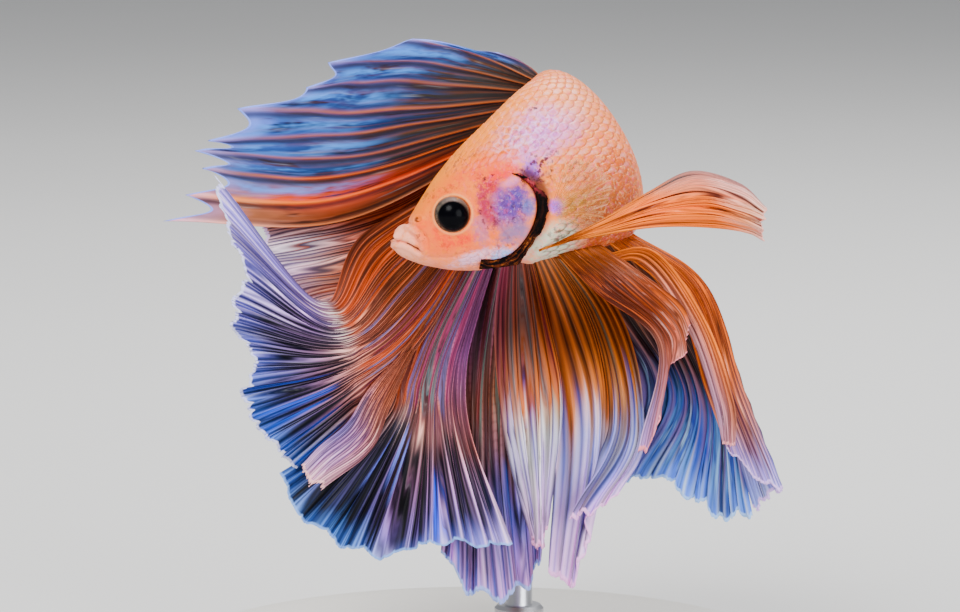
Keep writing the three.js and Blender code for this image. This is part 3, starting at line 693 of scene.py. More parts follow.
    def netting(self, paint: Paint, colour: Signal, s: Signal, h: Signal, at: Signal) -> Signal:
        """A net of lilac and white between the scales of the shoulder."""
        net = paint.seams(at, 1.5).ease(0.16, 0.02)
        cloud = paint.noise(at, 1.3, 2.0)
        zone = self.patch(s, h, Patch(13.6, 4.0, 5.4, 3.6, "#ffffff"), cloud * 0.5)
        colour = paint.over(colour, "#f4d0f0", net * zone * 0.6)
        lumps = paint.noise(paint.shifted(at, 5.0), 1.5, 3.0, 0.6)
        colour = paint.over(colour, "#c070c4", lumps.ease(0.52, 0.62) * zone * 0.6)
        colour = paint.over(colour, "#f8a868", lumps.ease(0.46, 0.38) * zone * 0.5)
        cheek = self.patch(s, h, Patch(7.4, -4.1, 3.6, 1.1, "#ffffff"), cloud * 0.3)
        cell = paint.seams(at, 2.4)
        colour = paint.over(colour, "#806c94", cell.ease(0.1, 0.0) * cheek * 0.6)
        return paint.over(colour, "#f8ecff", cell.ease(0.25, 0.5) * cheek * 0.4)

    def freckles(self, paint: Paint, colour: Signal, s: Signal, h: Signal, at: Signal) -> Signal:
        """Dark red and purple freckles on the gill cover, the shoulder and the back."""
        bent = (paint.noise(at, 5.0, 3.0, 0.7) - 0.5) * 1.1 + 0.15
        gate = paint.noise(paint.shifted(at, 9.0), 1.2, 2.0).ease(0.44, 0.54)
        small = (paint.cells(at, 2.2) + bent).ease(0.62, 0.44) * gate
        dots = (small + (paint.cells(at, 1.0) + bent).ease(0.4, 0.28)).math("MINIMUM", 1.0)
        places = (
            (8.4, -0.6, 1.4, 2.8, 1.0), (9.5, 1.9, 2.2, 1.2, 1.0), (11.9, 0.9, 1.0, 1.6, 1.0),
            (13.2, 1.4, 2.2, 2.8, 0.9), (15.0, -0.6, 1.8, 2.2, 0.9), (14.45, 5.9, 0.9, 1.0, 1.0),
            (15.4, 2.6, 3.4, 3.0, 0.35), (10.4, -1.4, 2.4, 2.2, 0.7), (12.0, 4.6, 3.4, 2.2, 0.4),
            (8.0, 4.2, 3.2, 1.6, 0.55), (9.0, -3.8, 2.6, 1.4, 0.6), (12.9, -4.6, 1.8, 1.6, 0.7),
            (5.0, 2.4, 3.0, 1.2, 0.4), (2.6, -0.6, 0.9, 1.0, 0.6))
        for along, height, length, tall, strength in places:
            zone = Patch(along, height, length, tall, "#441020", strength * 0.95)
            shown = self.patch(s, h, zone, paint.noise(at, 1.7) * 0.4) * dots
            colour = paint.over(colour, zone.code, shown)
        streaks = (((11.75, 1.1), (12.5, 0.5), (12.95, -0.7)),
                   ((13.95, 2.3), (13.75, 0.8), (13.45, -0.7)))
        for (s0, h0), (s1, h1), (s2, h2) in streaks:
            line = s - s1 - (h - h1) * ((s2 - s0) / (h2 - h0))
            line = (line + (paint.noise(at, 2.6) - 0.5) * 0.9).bell(0.13)
            reach = ((h - (h0 + h2) / 2) * (2 / abs(h2 - h0))).bell(0.8)
            broken = paint.noise(at, 3.5).ease(0.4, 0.55)
            colour = paint.over(colour, "#30101c", line * reach * broken * 0.9)
        return colour

    def skin(self) -> bpy.types.Material:
        """The skin itself."""
        paint = Paint("betta skin", self.light)
        colour, mottle = self.markings(paint)
        crease_shade = paint.trait("crease_shade")
        # painted shade in the mouth, the nostril and the groove under the gill cover's edge
        colour = paint.over(colour, "#4a1810", crease_shade.ease(0.1, 0.9) * 0.85)
        pores = paint.noise(paint.place(), 7.0, 3.0, 0.6)
        return paint.finish(
            Base_Color=colour, Roughness=0.5 - mottle * 0.2, Specular_IOR_Level=0.1,
            Subsurface_Weight=0.06, Subsurface_Radius=(1.0, 0.45, 0.3), Subsurface_Scale=0.5 * MM,
            Normal=paint.height(pores, 0.05, 0.5))

    def scales(self) -> bpy.types.Material:
        """The scales, with pearly middles and warm rims."""
        paint = Paint("betta scales", self.light)
        colour, mottle = self.markings(paint)
        rim, each = paint.trait("rim"), paint.trait("each")
        s, h, rise = paint.trait("lengthwise"), paint.trait("height"), paint.trait("rise")
        pearl = rim.ease(0.75, 0.2) * each * (s.ease(9, 14) * 0.2 + 0.04)
        colour = paint.over(colour, "#f8dcec", pearl * rise.ease(-0.75, 0.1))
        colour = paint.over(colour, "#d07c50", rim.ease(0.72, 1.0) * 0.18)
        breast = self.patch(s, h, Patch(12.8, -4.9, 2.2, 1.9, "#ffffff"), 0.0)
        colour = paint.over(colour, "#6c7058", breast * rim.ease(0.6, 0.95) * 0.7)
        return paint.finish(
            Base_Color=colour, Roughness=0.42 - mottle * 0.15, Specular_IOR_Level=0.14,
            Normal=paint.height(rim, 0.03, 0.4))


# ------------------------------------------------------------------------------------------- body
@dataclass(frozen=True)
class Body:
    """The skin of the whole body in one piece, and the coat of scales on it."""

    form: BodyForm = BodyForm()
    finish: SkinFinish = SkinFinish()
    ring: int = 300
    stations: tuple[tuple[float, float, int], ...] = ((0, 1, 24), (1, 13, 200), (13, 38, 150))
    scale_pitch: float = 0.7
    scale_columns: int = 48
    first_scale: float = 5.2
    last_scale: float = 37.0
    scale_lift: float = 0.04
    scale_thick: float = 0.035
    scale_shoulder: float = 0.45
    patch_half: float = 0.0015

    def build(self) -> None:
        """Make and dress the skin and its scales."""
        nodes = ("head", "trunk_front", "trunk_bend", "tail_stem")
        ride(self.make_skin(), self.finish.skin(), "skin", *nodes)
        ride(self.make_scales(), self.finish.scales(), "skin")

    def make_skin(self) -> bpy.types.Object:
        """One closed loft from the lips to the root of the tail fin."""
        runs = [np.linspace(a, b, n, endpoint=False) for a, b, n in self.stations]
        s = np.concatenate([*runs, [BODY_LENGTH]])
        angle = np.arange(self.ring) * (2 * math.pi / self.ring)
        along, around = np.meshgrid(s, angle, indexing="ij")
        points = self.form.skin(along, around).reshape(-1, 3)
        traits = {k: v.ravel() for k, v in self.form.traits(along, around).items()}
        rows = len(s)
        node = np.arange(rows * self.ring).reshape(rows, self.ring)
        beside = np.roll(node, -1, axis=1)
        corners = np.stack([node[:-1], beside[:-1], beside[1:], node[1:]], axis=-1)
        faces = corners.reshape(-1, 4).tolist()
        ends = ((node[0], rows * self.ring, 1), (node[-1], rows * self.ring + 1, -1))
        for circle, centre, turn in ends:
            after = np.roll(circle, -1)
            for a, b in zip(circle.tolist(), after.tolist()):
                faces.append([centre, b, a] if turn > 0 else [centre, a, b])
        middles = np.stack([points[node[0]].mean(0), points[node[-1]].mean(0)])
        points = np.concatenate([points, middles])
        for trait, values in traits.items():
            ends_mean = [values[node[0]].mean(), values[node[-1]].mean()]
            traits[trait] = np.concatenate([values, ends_mean])
        return make_piece("betta_skin", points, faces, traits)

    def arc_angles(self, s: np.ndarray, share: np.ndarray) -> np.ndarray:
        """Angle round the section at a share of its outline, so that scales keep an even width."""
        rows = np.linspace(0, BODY_LENGTH, 120)
        angle = np.linspace(0, 2 * math.pi, 361)
        grid = self.form.smooth_skin(*np.meshgrid(rows, angle, indexing="ij"))
        steps = np.linalg.norm(np.diff(grid, axis=1), axis=-1)
        length = np.concatenate([np.zeros((len(rows), 1)), np.cumsum(steps, axis=1)], axis=1)
        length /= length[:, -1:]
        even = np.linspace(0, 1, len(angle))
        table = np.stack([np.interp(even, row, angle) for row in length])
        i = np.clip(s / BODY_LENGTH * (len(rows) - 1), 0, len(rows) - 1.001)
        j = (share % 1.0) * 360
        i0, j0 = i.astype(int), j.astype(int)
        u, v = i - i0, j - j0
        j1 = np.minimum(j0 + 1, 360)
        return ((table[i0, j0] * (1 - v) + table[i0, j1] * v) * (1 - u)
                + (table[i0 + 1, j0] * (1 - v) + table[i0 + 1, j1] * v) * u)

    def bare(self, s: np.ndarray, h: np.ndarray, rise: np.ndarray) -> np.ndarray:
        """Places with no scales: the face, the gill covers and the grooves behind them."""
        r, cover = GillFlap().reach(s, h)
        on_gill = (r < 5.1) & (s > 6.4) & (h < 3.0) & (rise > -0.78)
        groove = (r > 3.0) & (r < 5.0) & (cover > 0.02)
        face = (s < 7.4) & (rise < 0.72) & ((s < 5.0) | (rise > -0.6))
        return on_gill | groove | face | ((s < 6.2) & (rise > 0))

    def make_scales(self) -> bpy.types.Object:
        """Overlapping thin plates in staggered rows, each following the lie of the skin."""
        rng = np.random.default_rng(7)
        rows = int((self.last_scale - self.first_scale) / self.scale_pitch)
        i, j = np.meshgrid(np.arange(rows), np.arange(self.scale_columns), indexing="ij")
        s0 = self.first_scale + i.ravel() * self.scale_pitch
        share = (j.ravel() + 0.5 * (i.ravel() % 2)) / self.scale_columns
        angle = self.arc_angles(s0, share)
        height = self.form.tall(s0, np.sin(angle) > 0) * np.sin(angle)
        keep = ~self.bare(s0, height, np.sin(angle))
        s0, share = s0[keep], share[keep]
        across = np.linspace(-1, 1, 5)
        down = np.linspace(0, 1, 5)
        b, a = np.meshgrid(down, across, indexing="ij")
        flare = 0.8 + 0.2 * smooth(b / self.scale_shoulder)
        tip = np.sqrt(np.clip(1 - ((b - self.scale_shoulder) / 0.57) ** 2, 0, 1))
        half = np.where(b < self.scale_shoulder, flare, tip)
        length = self.scale_pitch * (1.5 + 0.12 * rng.standard_normal(len(s0)))
        wide = self.form.perimeter(s0) / self.scale_columns * 1.08
        s = np.clip(s0[:, None, None] + (b - 0.3) * length[:, None, None], 0, BODY_LENGTH - 0.01)
        turn = share[:, None, None] + a * half * (wide / self.form.perimeter(s0))[:, None, None] / 2
        angle = self.arc_angles(s, turn)
        fade = smooth((s0 - self.first_scale) / 5)[:, None, None] * 0.6 + 0.4
        lift = (0.006 + self.scale_lift * b ** 1.2 - 0.022 * (a * half) ** 2) * fade
        front = self.form.skin(s, angle, lift)
        back = self.form.skin(s, angle, lift - self.scale_thick)
        count = len(s0)
        points = np.concatenate([front.reshape(count, -1, 3), back.reshape(count, -1, 3)], axis=1)
        each_faces = np.array(shell_faces(len(down), len(across)))
        faces = (each_faces[None] + (np.arange(count) * 2 * b.size)[:, None, None]).reshape(-1, 4)
        traits = {k: np.tile(v.reshape(count, -1), (1, 2)).ravel()
                  for k, v in self.form.traits(s, angle).items()}
        rim = np.clip(np.maximum(np.abs(a), (b - 0.2) / 0.8), 0, 1)
        traits["rim"] = np.tile(rim.ravel(), 2 * count)
        traits["each"] = np.repeat(rng.random(count), 2 * b.size)
        # the scales carry none of the painted crease shade
        traits["crease_shade"] = np.zeros_like(traits["rim"])
        local = np.stack([np.broadcast_to(a, s.shape), np.broadcast_to(b - 0.5, s.shape)], axis=-1)
        root = np.stack([s0 / BODY_LENGTH, share % 1.0], axis=1)[:, None, None, :]
        uv = (root + local * self.patch_half).reshape(count, -1, 2)
        uv = np.concatenate([uv, uv], axis=1).reshape(-1, 2)
        return make_piece("betta_scales", points.reshape(-1, 3), faces.tolist(), traits, uv)


# -------------------------------------------------------------------------------------------- eyes
@dataclass(frozen=True)
class EyeFinish:
    """Black pupil in a thin olive and mauve iris, with a wet shine."""

    def material(self) -> bpy.types.Material:
        """One material for both eyes."""
        paint = Paint("betta eye")
        radius, clock = paint.trait("radius"), paint.trait("clock")
        fibres = paint.noise(paint.vector(clock * 9, radius * 1.4), 2.2, 3.0, 0.6)
        iris = paint.mix(paint.tint("#6c6050"), paint.tint("#3c3c34"), fibres.ease(0.35, 0.65))
        iris = paint.over(iris, "#94807c", (clock - 0.33).bell(0.12) * 0.7)
        iris = paint.over(iris, "#c9a44c", (clock - 0.36).bell(0.06) * fibres.ease(0.5, 0.7) * 0.8)
        iris = paint.over(iris, "#b08060", radius.ease(1.4, 1.56))
        edge = paint.trait("pupil") + (fibres - 0.5) * 0.08
        beyond = edge.ease(Eye().pupil - 0.06, Eye().pupil + 0.14)
        colour = paint.mix(paint.tint("#040408"), iris, beyond)
        return paint.finish(Base_Color=colour, Roughness=0.2, Specular_IOR_Level=0.04)


@dataclass(frozen=True)
class Eyes:
    """Both eyeballs, each a flattened ball with a low dome over the pupil."""

    form: BodyForm = BodyForm()
    eye: Eye = Eye()
    finish: EyeFinish = EyeFinish()
    rings: int = 72
    spokes: int = 128

    def build(self) -> None:
        """Make and dress both eyes."""
        material = self.finish.material()
        for side, name in ((-1, "left"), (1, "right")):
            ride(self.make_eye(side, f"betta_eye_{name}"), material, "eye", f"eye_{name}")

    def make_eye(self, side: int, name: str) -> bpy.types.Object:
        """A ball turned so that its pole looks out of the head."""
        eye = self.eye
        along = np.array(eye.along)
        centre = self.form.flank(along, np.array(eye.height), side, -eye.sunk)
        _, tail, up, right = self.form.spine(along)
        out = unit(right * side - tail * 0.16 + up * 0.02)
        top = unit(up - out * np.dot(up, out))
        ahead = np.cross(top, out) * side
        polar = np.linspace(0, math.pi, self.rings + 1)[1:-1]
        clock = np.arange(self.spokes) / self.spokes
        p, c = np.meshgrid(polar, clock, indexing="ij")
        reach = eye.radius * np.sin(p)
        dome = eye.dome * (1 - smooth((reach - 0.9) / 0.6)) * (np.cos(p) > 0)
        rise = eye.radius * np.cos(p) * eye.flat + dome
        level, climb = np.cos(2 * math.pi * c), np.sin(2 * math.pi * c)
        spoke = ahead * level[..., None] + top * climb[..., None]
        points = (centre + out * rise[..., None] + spoke * reach[..., None]).reshape(-1, 3)
        depth = eye.radius * eye.flat
        poles = np.stack([centre + out * (depth + eye.dome), centre - out * depth])
        node = np.arange(points.shape[0]).reshape(p.shape)
        beside = np.roll(node, -1, axis=1)
        faces = np.stack([node[:-1], node[1:], beside[1:], beside[:-1]], axis=-1).reshape(-1, 4)
        if side < 0:
            faces = faces[:, ::-1]
        faces = faces.tolist()
        first, last = len(points), len(points) + 1
        for k in range(self.spokes):
            n = (k + 1) % self.spokes
            tip, tail_end = [first, node[0, k], node[0, n]], [last, node[-1, n], node[-1, k]]
            faces.append([int(x) for x in (tip if side > 0 else tip[::-1])])
            faces.append([int(x) for x in (tail_end if side > 0 else tail_end[::-1])])
        radius = np.where(p < math.pi / 2, reach, eye.radius)
        back, down = eye.look
        pupil = np.hypot(radius * level + back, radius * climb + down)
        traits = {"radius": np.append(radius.ravel(), [0, eye.radius]),
                  "pupil": np.append(pupil.ravel(), [0, eye.radius]),
                  "clock": np.append(c.ravel(), [0, 0])}
        return make_piece(name, np.concatenate([points, poles]), faces, traits)


# -------------------------------------------------------------------------------------- gill flaps
@dataclass(frozen=True)
class GillFinish:
    """Black-brown skin, with rust and gold strokes towards the throat and rose at its top."""

    def material(self) -> bpy.types.Material:
        """One material for both flaps."""
        paint = Paint("gill flap")
        arc, band = paint.trait("arc"), paint.trait("band")
        at = paint.place()
        specks = paint.noise(at, 4.5, 3.0, 0.7)
        strokes = paint.noise(paint.vector(arc * 9.0, band * 5.0, 3.0), 1.0, 4.0, 0.65)
        low = arc.ease(0.6, 0.3)
        rust = strokes.ease(0.46, 0.62) * (low * 0.9 + 0.1)
        colour = paint.mix(paint.tint("#080304"), paint.tint("#6c2c10"), rust)
        gold = (specks * 0.5 + strokes * 0.5).ease(0.54, 0.62)
        colour = paint.over(colour, "#b87438", gold * low * 0.7)
        colour = paint.over(colour, "#080304", strokes.ease(0.46, 0.36) * 0.8)
        high = arc.ease(0.66, 0.9) * paint.noise(at, 2.2, 3.0, 0.6).ease(0.44, 0.56)
        colour = paint.over(colour, "#c0505c", high * 0.8)
        return paint.finish(Base_Color=colour, Roughness=0.5 + specks * 0.3, Specular_IOR_Level=0.05,
                            Normal=paint.height(specks, 0.1, 0.8))


@dataclass(frozen=True)
class GillFlaps:
    """The dark flap that shows behind each gill cover."""

    form: BodyForm = BodyForm()
    flap: GillFlap = GillFlap()
    finish: GillFinish = GillFinish()
    widths: Keys = ((0, .8), (.18, .95), (.38, .58), (.55, .6), (.68, .5), (.78, .26), (.92, .16),
                    (1, .05))
    thick: float = 0.16
    along_arc: int = 200
    across_band: int = 18

    def build(self) -> None:
        """Make and dress both flaps."""
        material = self.finish.material()
        for side, name in ((-1, "left"), (1, "right")):
            flap = self.make_flap(side, f"gill_skin_{name}")
            ride(flap, material, "gill_flap", f"gill_flap_{name}")

    def make_flap(self, side: int, name: str) -> bpy.types.Object:
        """A curved band, bulging along its middle and ragged at its lower end."""
        arc = np.linspace(0, 1, self.along_arc)
        band = np.linspace(0, 1, self.across_band)
        u, v = np.meshgrid(arc, band, indexing="ij")
        flap = self.flap
        width = keyed(self.widths, u) * (flap.outer - flap.inner)
        ragged = 0.03 * wander(u, 40, 3) + 0.08 * wander(u, 9, 5)
        reach = flap.inner + 0.12 + v * (width + ragged * smooth(u * (1 - u) / 0.05))
        turn = (flap.start + u * (flap.end - flap.start)) * DEG
        s = flap.along + reach * np.cos(turn)
        h = flap.height + reach * np.sin(turn)
        h = np.clip(h, -0.99 * self.form.tall(s, h > 0), 0.99 * self.form.tall(s, h > 0))
        lift = -0.02 + 0.24 * np.sin(math.pi * np.clip(v, 0, 1)) ** 0.7 + 0.04 * wander(u, 14, 9) * v
        front = self.form.flank(s, h, side, lift)
        back = self.form.flank(s, h, side, lift - self.thick)
        points = np.concatenate([front.reshape(-1, 3), back.reshape(-1, 3)])
        faces = shell_faces(*u.shape)
        if side < 0:
            faces = [face[::-1] for face in faces]
        traits = {"arc": np.tile(u.ravel(), 2), "band": np.tile(v.ravel(), 2)}
        return make_piece(name, points, faces, traits)


# -------------------------------------------------------------------------------------- fin finish
@dataclass(frozen=True)
class Band:
    """Colours at one place across a fin, of its web and of its rays.

    Each is a row of stops from the root, 0, to the margin, 1: a place, then six colour figures.
    """

    across: float
    web: str
    ray: str


@dataclass(frozen=True)
class Streaks:
    """Irregular streaks of another colour, in some cells between rays or brushed over them."""

    code: str
    start: float
    end: float
    share: float
    across: tuple[float, float] = (0.0, 1.0)
    brushed: bool = False


@dataclass(frozen=True)
class FinFinish:
    """Satin web with fine rays, shaded valleys and a thin pale margin.

    Attributes:
        bands, streaks: the colours across the fin, and irregular streaks over them.
        line, fork, spread: a ray's width, where it parts in two and how far, in rays.
        threads, thread_show: fine threads beside each ray, and how strongly they show.
        under, valley: shadow on one side of each ray, and along both.
        patchy, cloud: dark patches of the web, and their length.
        sheen, glow, glow_from: a painted sheen, pale along the fibres, and bright middles of the
            web.
        jitter, beads, margin: uneven colour from ray to ray, dark joints, the thin edge.
        clear, ray_show, clear_edge: how solid the web, its rays and its first side are.
        fold_dark, fold_light, fold_from, flame: shade, light and colour on the soft folds.
        rough, light: the surface, and the share of light that falls on it.
    """

    bands: tuple[Band, ...]
    streaks: tuple[Streaks, ...] = ()
    line: float = 0.16
    fork: float = 0.45
    spread: float = 0.2
    threads: int = 3
    thread_show: float = 0.2
    under: str = ""
    jitter: float = 0.06
    valley: float = 0.5
    patchy: float = 0.35
    cloud: float = 5.0
    sheen: float = 0.12
    margin: str = "#d9ccf2"
    margin_from: float = 0.99
    beads: float = 0.0
    clear: float = 1.0
    ray_show: float = 0.5
    clear_edge: float = 0.0
    glow: str = ""
    glow_from: float = 0.35
    fold_dark: float = 0.3
    fold_light: float = 0.2
    fold_from: float = 0.5
    flame: float = 0.0
    root_dark: float = 0.0
    rough: float = 0.45
    light: float = 1.3

    def split(self, along: np.ndarray) -> np.ndarray:
        """How far the two halves of a ray have parted."""
        return self.spread * smooth((along - self.fork) / 0.35)

    def material(self, name: str, seed: float) -> bpy.types.Material:
        """The fin's material.

        Args:
            name: the fin's name.
            seed: shifts its chance pattern from those of the other fins.

        Returns:
            The material, read from the piece's ray, along and across numbers.
        """
        paint = Paint(name, self.light)
        q, t, u = paint.trait("ray"), paint.trait("along"), paint.trait("across")
        cell = q.math("FLOOR")
        ray = (q + 0.5).math("FLOOR")
        grain = paint.noise(paint.vector(q * 0.7, t * self.cloud, seed), 1.0, 3.0, 0.6)
        fibre = paint.noise(paint.vector(q * 6.0, t * 4.0, seed + 5), 1.0, 2.0, 0.6)
        broad = paint.noise(paint.vector(u * 5.0, t * 3.0, seed + 9), 1.0, 2.0, 0.5)
        warp = (broad - 0.5) * 0.12 + (grain - 0.5) * 0.08
        crown = paint.trait("crown")
        warp = warp + (crown - 0.25) * self.flame
        web_at = t + (paint.chance(cell + seed) - 0.5) * self.jitter * 2 + warp
        ray_at = t + (paint.chance(ray + seed + 50) - 0.5) * self.jitter + warp * 0.8
        web = self.banded(paint, u, web_at, "web")
        dark = paint.chance(cell + seed + 20).ease(0.35, 1.0) * self.patchy
        web = paint.over(web, "#000000", dark + grain.ease(0.6, 0.3) * 0.35)
        for number, streak in enumerate(self.streaks):
            if streak.brushed:
                at = paint.vector(q * 3.2, t * 3.0, seed + 60 + 7 * number)
                chosen = paint.noise(at, 1.0, 3.0, 0.6)
                start, soft = 0.6 - 0.25 * streak.share, 0.1
            else:
                chosen = paint.chance(cell + seed + 100 * (number + 1))
                start, soft = 1 - streak.share, 0.02
            reach = web_at.ease(streak.start - 0.04, streak.start + 0.04)
            reach = reach * web_at.ease(streak.end + 0.04, streak.end - 0.04)
            low, high = streak.across
            reach = reach * u.ease(low - 0.06, low + 0.04) * u.ease(high + 0.06, high - 0.04)
            reach = reach * chosen.ease(start, start + soft)
            web = paint.over(web, streak.code, reach * fibre.ease(0.32, 0.55))
        beside = q - ray
        if self.glow:
            brush = paint.noise(paint.vector(q * 2.3, t * 4.0, seed + 33), 1.0, 3.0, 0.6)
            middle = (q - cell - 0.55).bell(0.3) * brush.ease(0.4, 0.62)
            middle = middle * t.ease(self.glow_from, self.glow_from + 0.2) * t.ease(1.0, 0.9)
            web = paint.over(web, self.glow, middle * u.ease(0.93, 0.8) * 0.75)
        away = abs(abs(beside) - t.ease(self.fork, self.fork + 0.35) * self.spread)
        web = paint.over(web, "#000000", away.ease(0.1, 0.34) * fibre.ease(0.7, 0.3) * self.valley)
        rays = self.banded(paint, u, ray_at, "ray")
        thread = q * self.threads
        thread = abs(thread - (thread + 0.5).math("FLOOR")).bell(0.2) * fibre.ease(0.3, 0.6)
        web = paint.mix(web, rays, thread * self.thread_show)
        if self.beads:
            beat = ((t * 230 + paint.chance(ray + seed) * 6).math("SINE") + 1) * 0.5
            rays = paint.over(rays, "#3a1420", beat.ease(0.4, 0.0) * t.ease(0.75, 0.6) * self.beads)
        strong = paint.chance(ray + seed + 80).ease(0.0, 0.6) * 0.55 + 0.45
        line = (away.bell(self.line) * (0.65 + fibre * 0.6) * strong).math("MINIMUM", 1.0)
        colour = paint.mix(web, rays, line)
        if self.under:
            below = (beside - self.line * 1.9).bell(self.line * 1.3)
            colour = paint.over(colour, self.under, below * 0.8)
        # painted sheen: near-white over the fibres' brightest streaks
        colour = paint.over(colour, "#f4ecff", fibre.ease(0.58, 0.8) * self.sheen)
        if self.root_dark:
            colour = paint.over(colour, "#000000", t.ease(0.62, 0.42) * self.root_dark)
        outer = t.ease(self.fold_from, self.fold_from + 0.15)
        colour = paint.over(colour, "#000008", crown.ease(0.45, 0.0) * outer * self.fold_dark)
        colour = paint.over(colour, "#fcf4ff", crown.ease(0.8, 1.0) * outer * line * self.fold_light)
        edge = (t + (grain - 0.5) * 0.006).ease(self.margin_from - 0.004, self.margin_from + 0.002)
        colour = paint.over(colour, self.margin, edge * 0.9)
        opaque = self.clear + self.ray_show * line if self.clear < 1 else 1.0
        if self.clear_edge:
            opaque = 1 - u.ease(0.16, 0.03) * (1 - line) * self.clear_edge
        return paint.finish(
            Base_Color=colour, Roughness=self.rough + fibre * 0.2 - line * 0.08, Alpha=opaque,
            Specular_IOR_Level=0.1,
            Normal=paint.height(line * 0.6 + fibre * 0.4, 0.07, 0.8))

    def banded(self, paint: Paint, u: Signal, at: Signal, part: str) -> Signal:
        """Colour along the fin, mixed between the bands on either side."""
        colour = paint.ramp(at, getattr(self.bands[0], part))
        for before, band in zip(self.bands, self.bands[1:]):
            share = u.ease(before.across, band.across)
            colour = paint.mix(colour, paint.ramp(at, getattr(band, part)), share)
        return colour


# -------------------------------------------------------------------------------------------- fins
TAIL_SUNK = 0.6
ROOT_SUNK = 0.9
BREAST_AT = (11.4, -5.2)


class Root(Enum):
    """What a fin's rays leave from."""

    CREST = "crest"
    BELLY = "belly"
    TAIL = "tail"
    LEFT_BREAST = "left breast"
    RIGHT_BREAST = "right breast"
    GIVEN = "given"


class Edge(Enum):
    """The outline of a fin's margin."""

    LOBED = "rounded lobes with sharp notches"
    TIPPED = "ray tips with hollows between"


@dataclass(frozen=True)
class RayFin:
    """One fin sheet: a fan of key rays with finer rays between, folded and frilled.

    Each key ray is the place it leaves the body from, then knots as x, y, z, the last one its tip.
    """

    name: str
    nodes: tuple[str, ...]
    slot: str
    root: Root
    rays: tuple[tuple, ...]
    finish: FinFinish
    notch: float = 0.0
    fine: int = 8
    rows: int = 90
    per_ray: int = 8
    web: float = 0.045
    ridge: float = 0.06
    pleat: float = 0.1
    pleat_from: float = 0.25
    wave: float = 0.0
    waves: float = 6.0
    edge: Edge = Edge.TIPPED
    depth: float = 0.01
    ragged: float = 0.006
    sway: float = 0.0
    curl: float = 0.0
    fold: float = 0.0
    fold_at: float = 0.65
    uneven: float = 0.7
    gather: float = 0.14
    gather_over: float = 4.5
    seed: int = 1
    form: BodyForm = BodyForm()

    def start(self, place: float | Point) -> np.ndarray:
        """Where a ray leaves the body."""
        if self.root is Root.GIVEN:
            return np.array(place, float)
        if self.root is Root.TAIL:
            point, tail, up, _ = self.form.spine(np.array(BODY_LENGTH))
            return point + up * (place * 3.5 * 0.95) - tail * TAIL_SUNK
        if self.root in (Root.LEFT_BREAST, Root.RIGHT_BREAST):
            side = -1 if self.root is Root.LEFT_BREAST else 1
            along, height = BREAST_AT
            return self.form.flank(np.array(along + place * 0.6), np.array(height), side, 0.2)
        angle = math.pi / 2 if self.root is Root.CREST else -math.pi / 2
        return self.form.smooth_skin(np.array(float(place)), np.array(angle), -ROOT_SUNK)

    def sheet(self, u: np.ndarray, along: np.ndarray) -> np.ndarray:
        """Points of the plain sheet, across 0 to 1 over its key rays and from root to margin."""
        knots = np.array([[self.start(ray[0]), *ray[1:]] for ray in self.rays], float)
        first = 2 * knots[:, :1] - knots[:, 1:2]
        last = 2 * knots[:, -1:] - knots[:, -2:-1]
        knots = np.concatenate([first, knots, last], axis=1)
        spans = knots.shape[1] - 3
        count = len(self.rays) - 1
        place = np.clip(u, 0, 1) * count
        i = np.minimum(count - 1, place.astype(int))
        t = place - i
        reach = np.maximum(along, 0) * (1 - self.notch * np.sin(math.pi * t) ** 2) * spans
        k = np.minimum(spans - 1, reach.astype(int))

        def at(number: np.ndarray) -> np.ndarray:
            number = np.clip(number, 0, count)
            a, b, c, d = (knots[number, k + step] for step in range(4))
            return through(a, b, c, d, (reach - k)[..., None])

        b, c = at(i), at(i + 1)
        a = np.where((i > 0)[..., None], at(i - 1), 2 * b - c)
        d = np.where((i + 2 <= count)[..., None], at(i + 2), 2 * c - b)
        return through(a, b, c, d, t[..., None])

    def margin(self, u: np.ndarray, q: np.ndarray) -> np.ndarray:
        """How much shorter than its even length the sheet is at each place across."""
        if self.edge is Edge.LOBED:
            beat = self.beat(u, q, np.ones_like(u))
            hollow = 1.1 - np.abs(np.sin(math.pi * beat)) ** 0.45
            hollow = hollow - 0.3 * np.abs(np.sin(math.pi * beat * 3.3 + 1)) ** 0.6
        else:
            hollow = np.abs(np.sin(math.pi * q)) ** 0.8
        return self.depth * (hollow - 0.25) + self.ragged * wander(u, 1 + q.max() / 6, self.seed + 7)

    def beat(self, u: np.ndarray, q: np.ndarray, t: np.ndarray) -> np.ndarray:
        """Count of the soft folds that gather several rays each."""
        return q / self.gather_over + 0.35 * wander(u, self.waves, self.seed + 31) + 0.15 * t

    def lie(self) -> tuple[np.ndarray, np.ndarray, np.ndarray, np.ndarray]:
        """Middle surface of the fin, with its across, ray and along numbers."""
        count = (len(self.rays) - 1) * self.fine
        across = np.linspace(0, 1, count * self.per_ray + 1)
        down = np.linspace(0, 1, self.rows + 1) ** 0.9
        u, t = np.meshgrid(across, down, indexing="ij")
        q = u * count
        if self.fine > 2:
            drift = wander(u * count / 7 + 0.5 * t, 1, self.seed + 21)
            drift = drift + 0.5 * wander(u * count / 3 + t, 1, self.seed + 22)
            q = np.clip(q + self.uneven * drift * np.sin(math.pi * u) ** 0.3, 0, count)
        reach = t - self.margin(u, q) * t ** 3
        swing = self.sway * np.sin(math.pi * u) * wander(t + 0.6 * u, 2.2, self.seed + 3)
        base = self.sheet(u + swing * smooth(t / 0.3), reach)
        normal = self.facing(base)
        grow = smooth((t - self.pleat_from) / 0.5)
        lift = self.pleat * grow * np.cos(2 * math.pi * q)
        crown = np.abs(np.sin(math.pi * self.beat(u, q, t))) ** 0.8
        lift = lift + self.gather * grow * (crown - 0.6) * 2.4
        broad = wander(u, self.waves, self.seed + 11) * np.cos(1.2 * t + 3 * u)
        lift = lift + self.wave * broad * t ** 2 + self.curl * smooth((t - 0.8) / 0.2) ** 2
        lift = lift - self.fold * bump(t - self.fold_at - 0.012 * wander(u, 6, self.seed), 0.035)
        return base + normal * lift[..., None], u, q, t

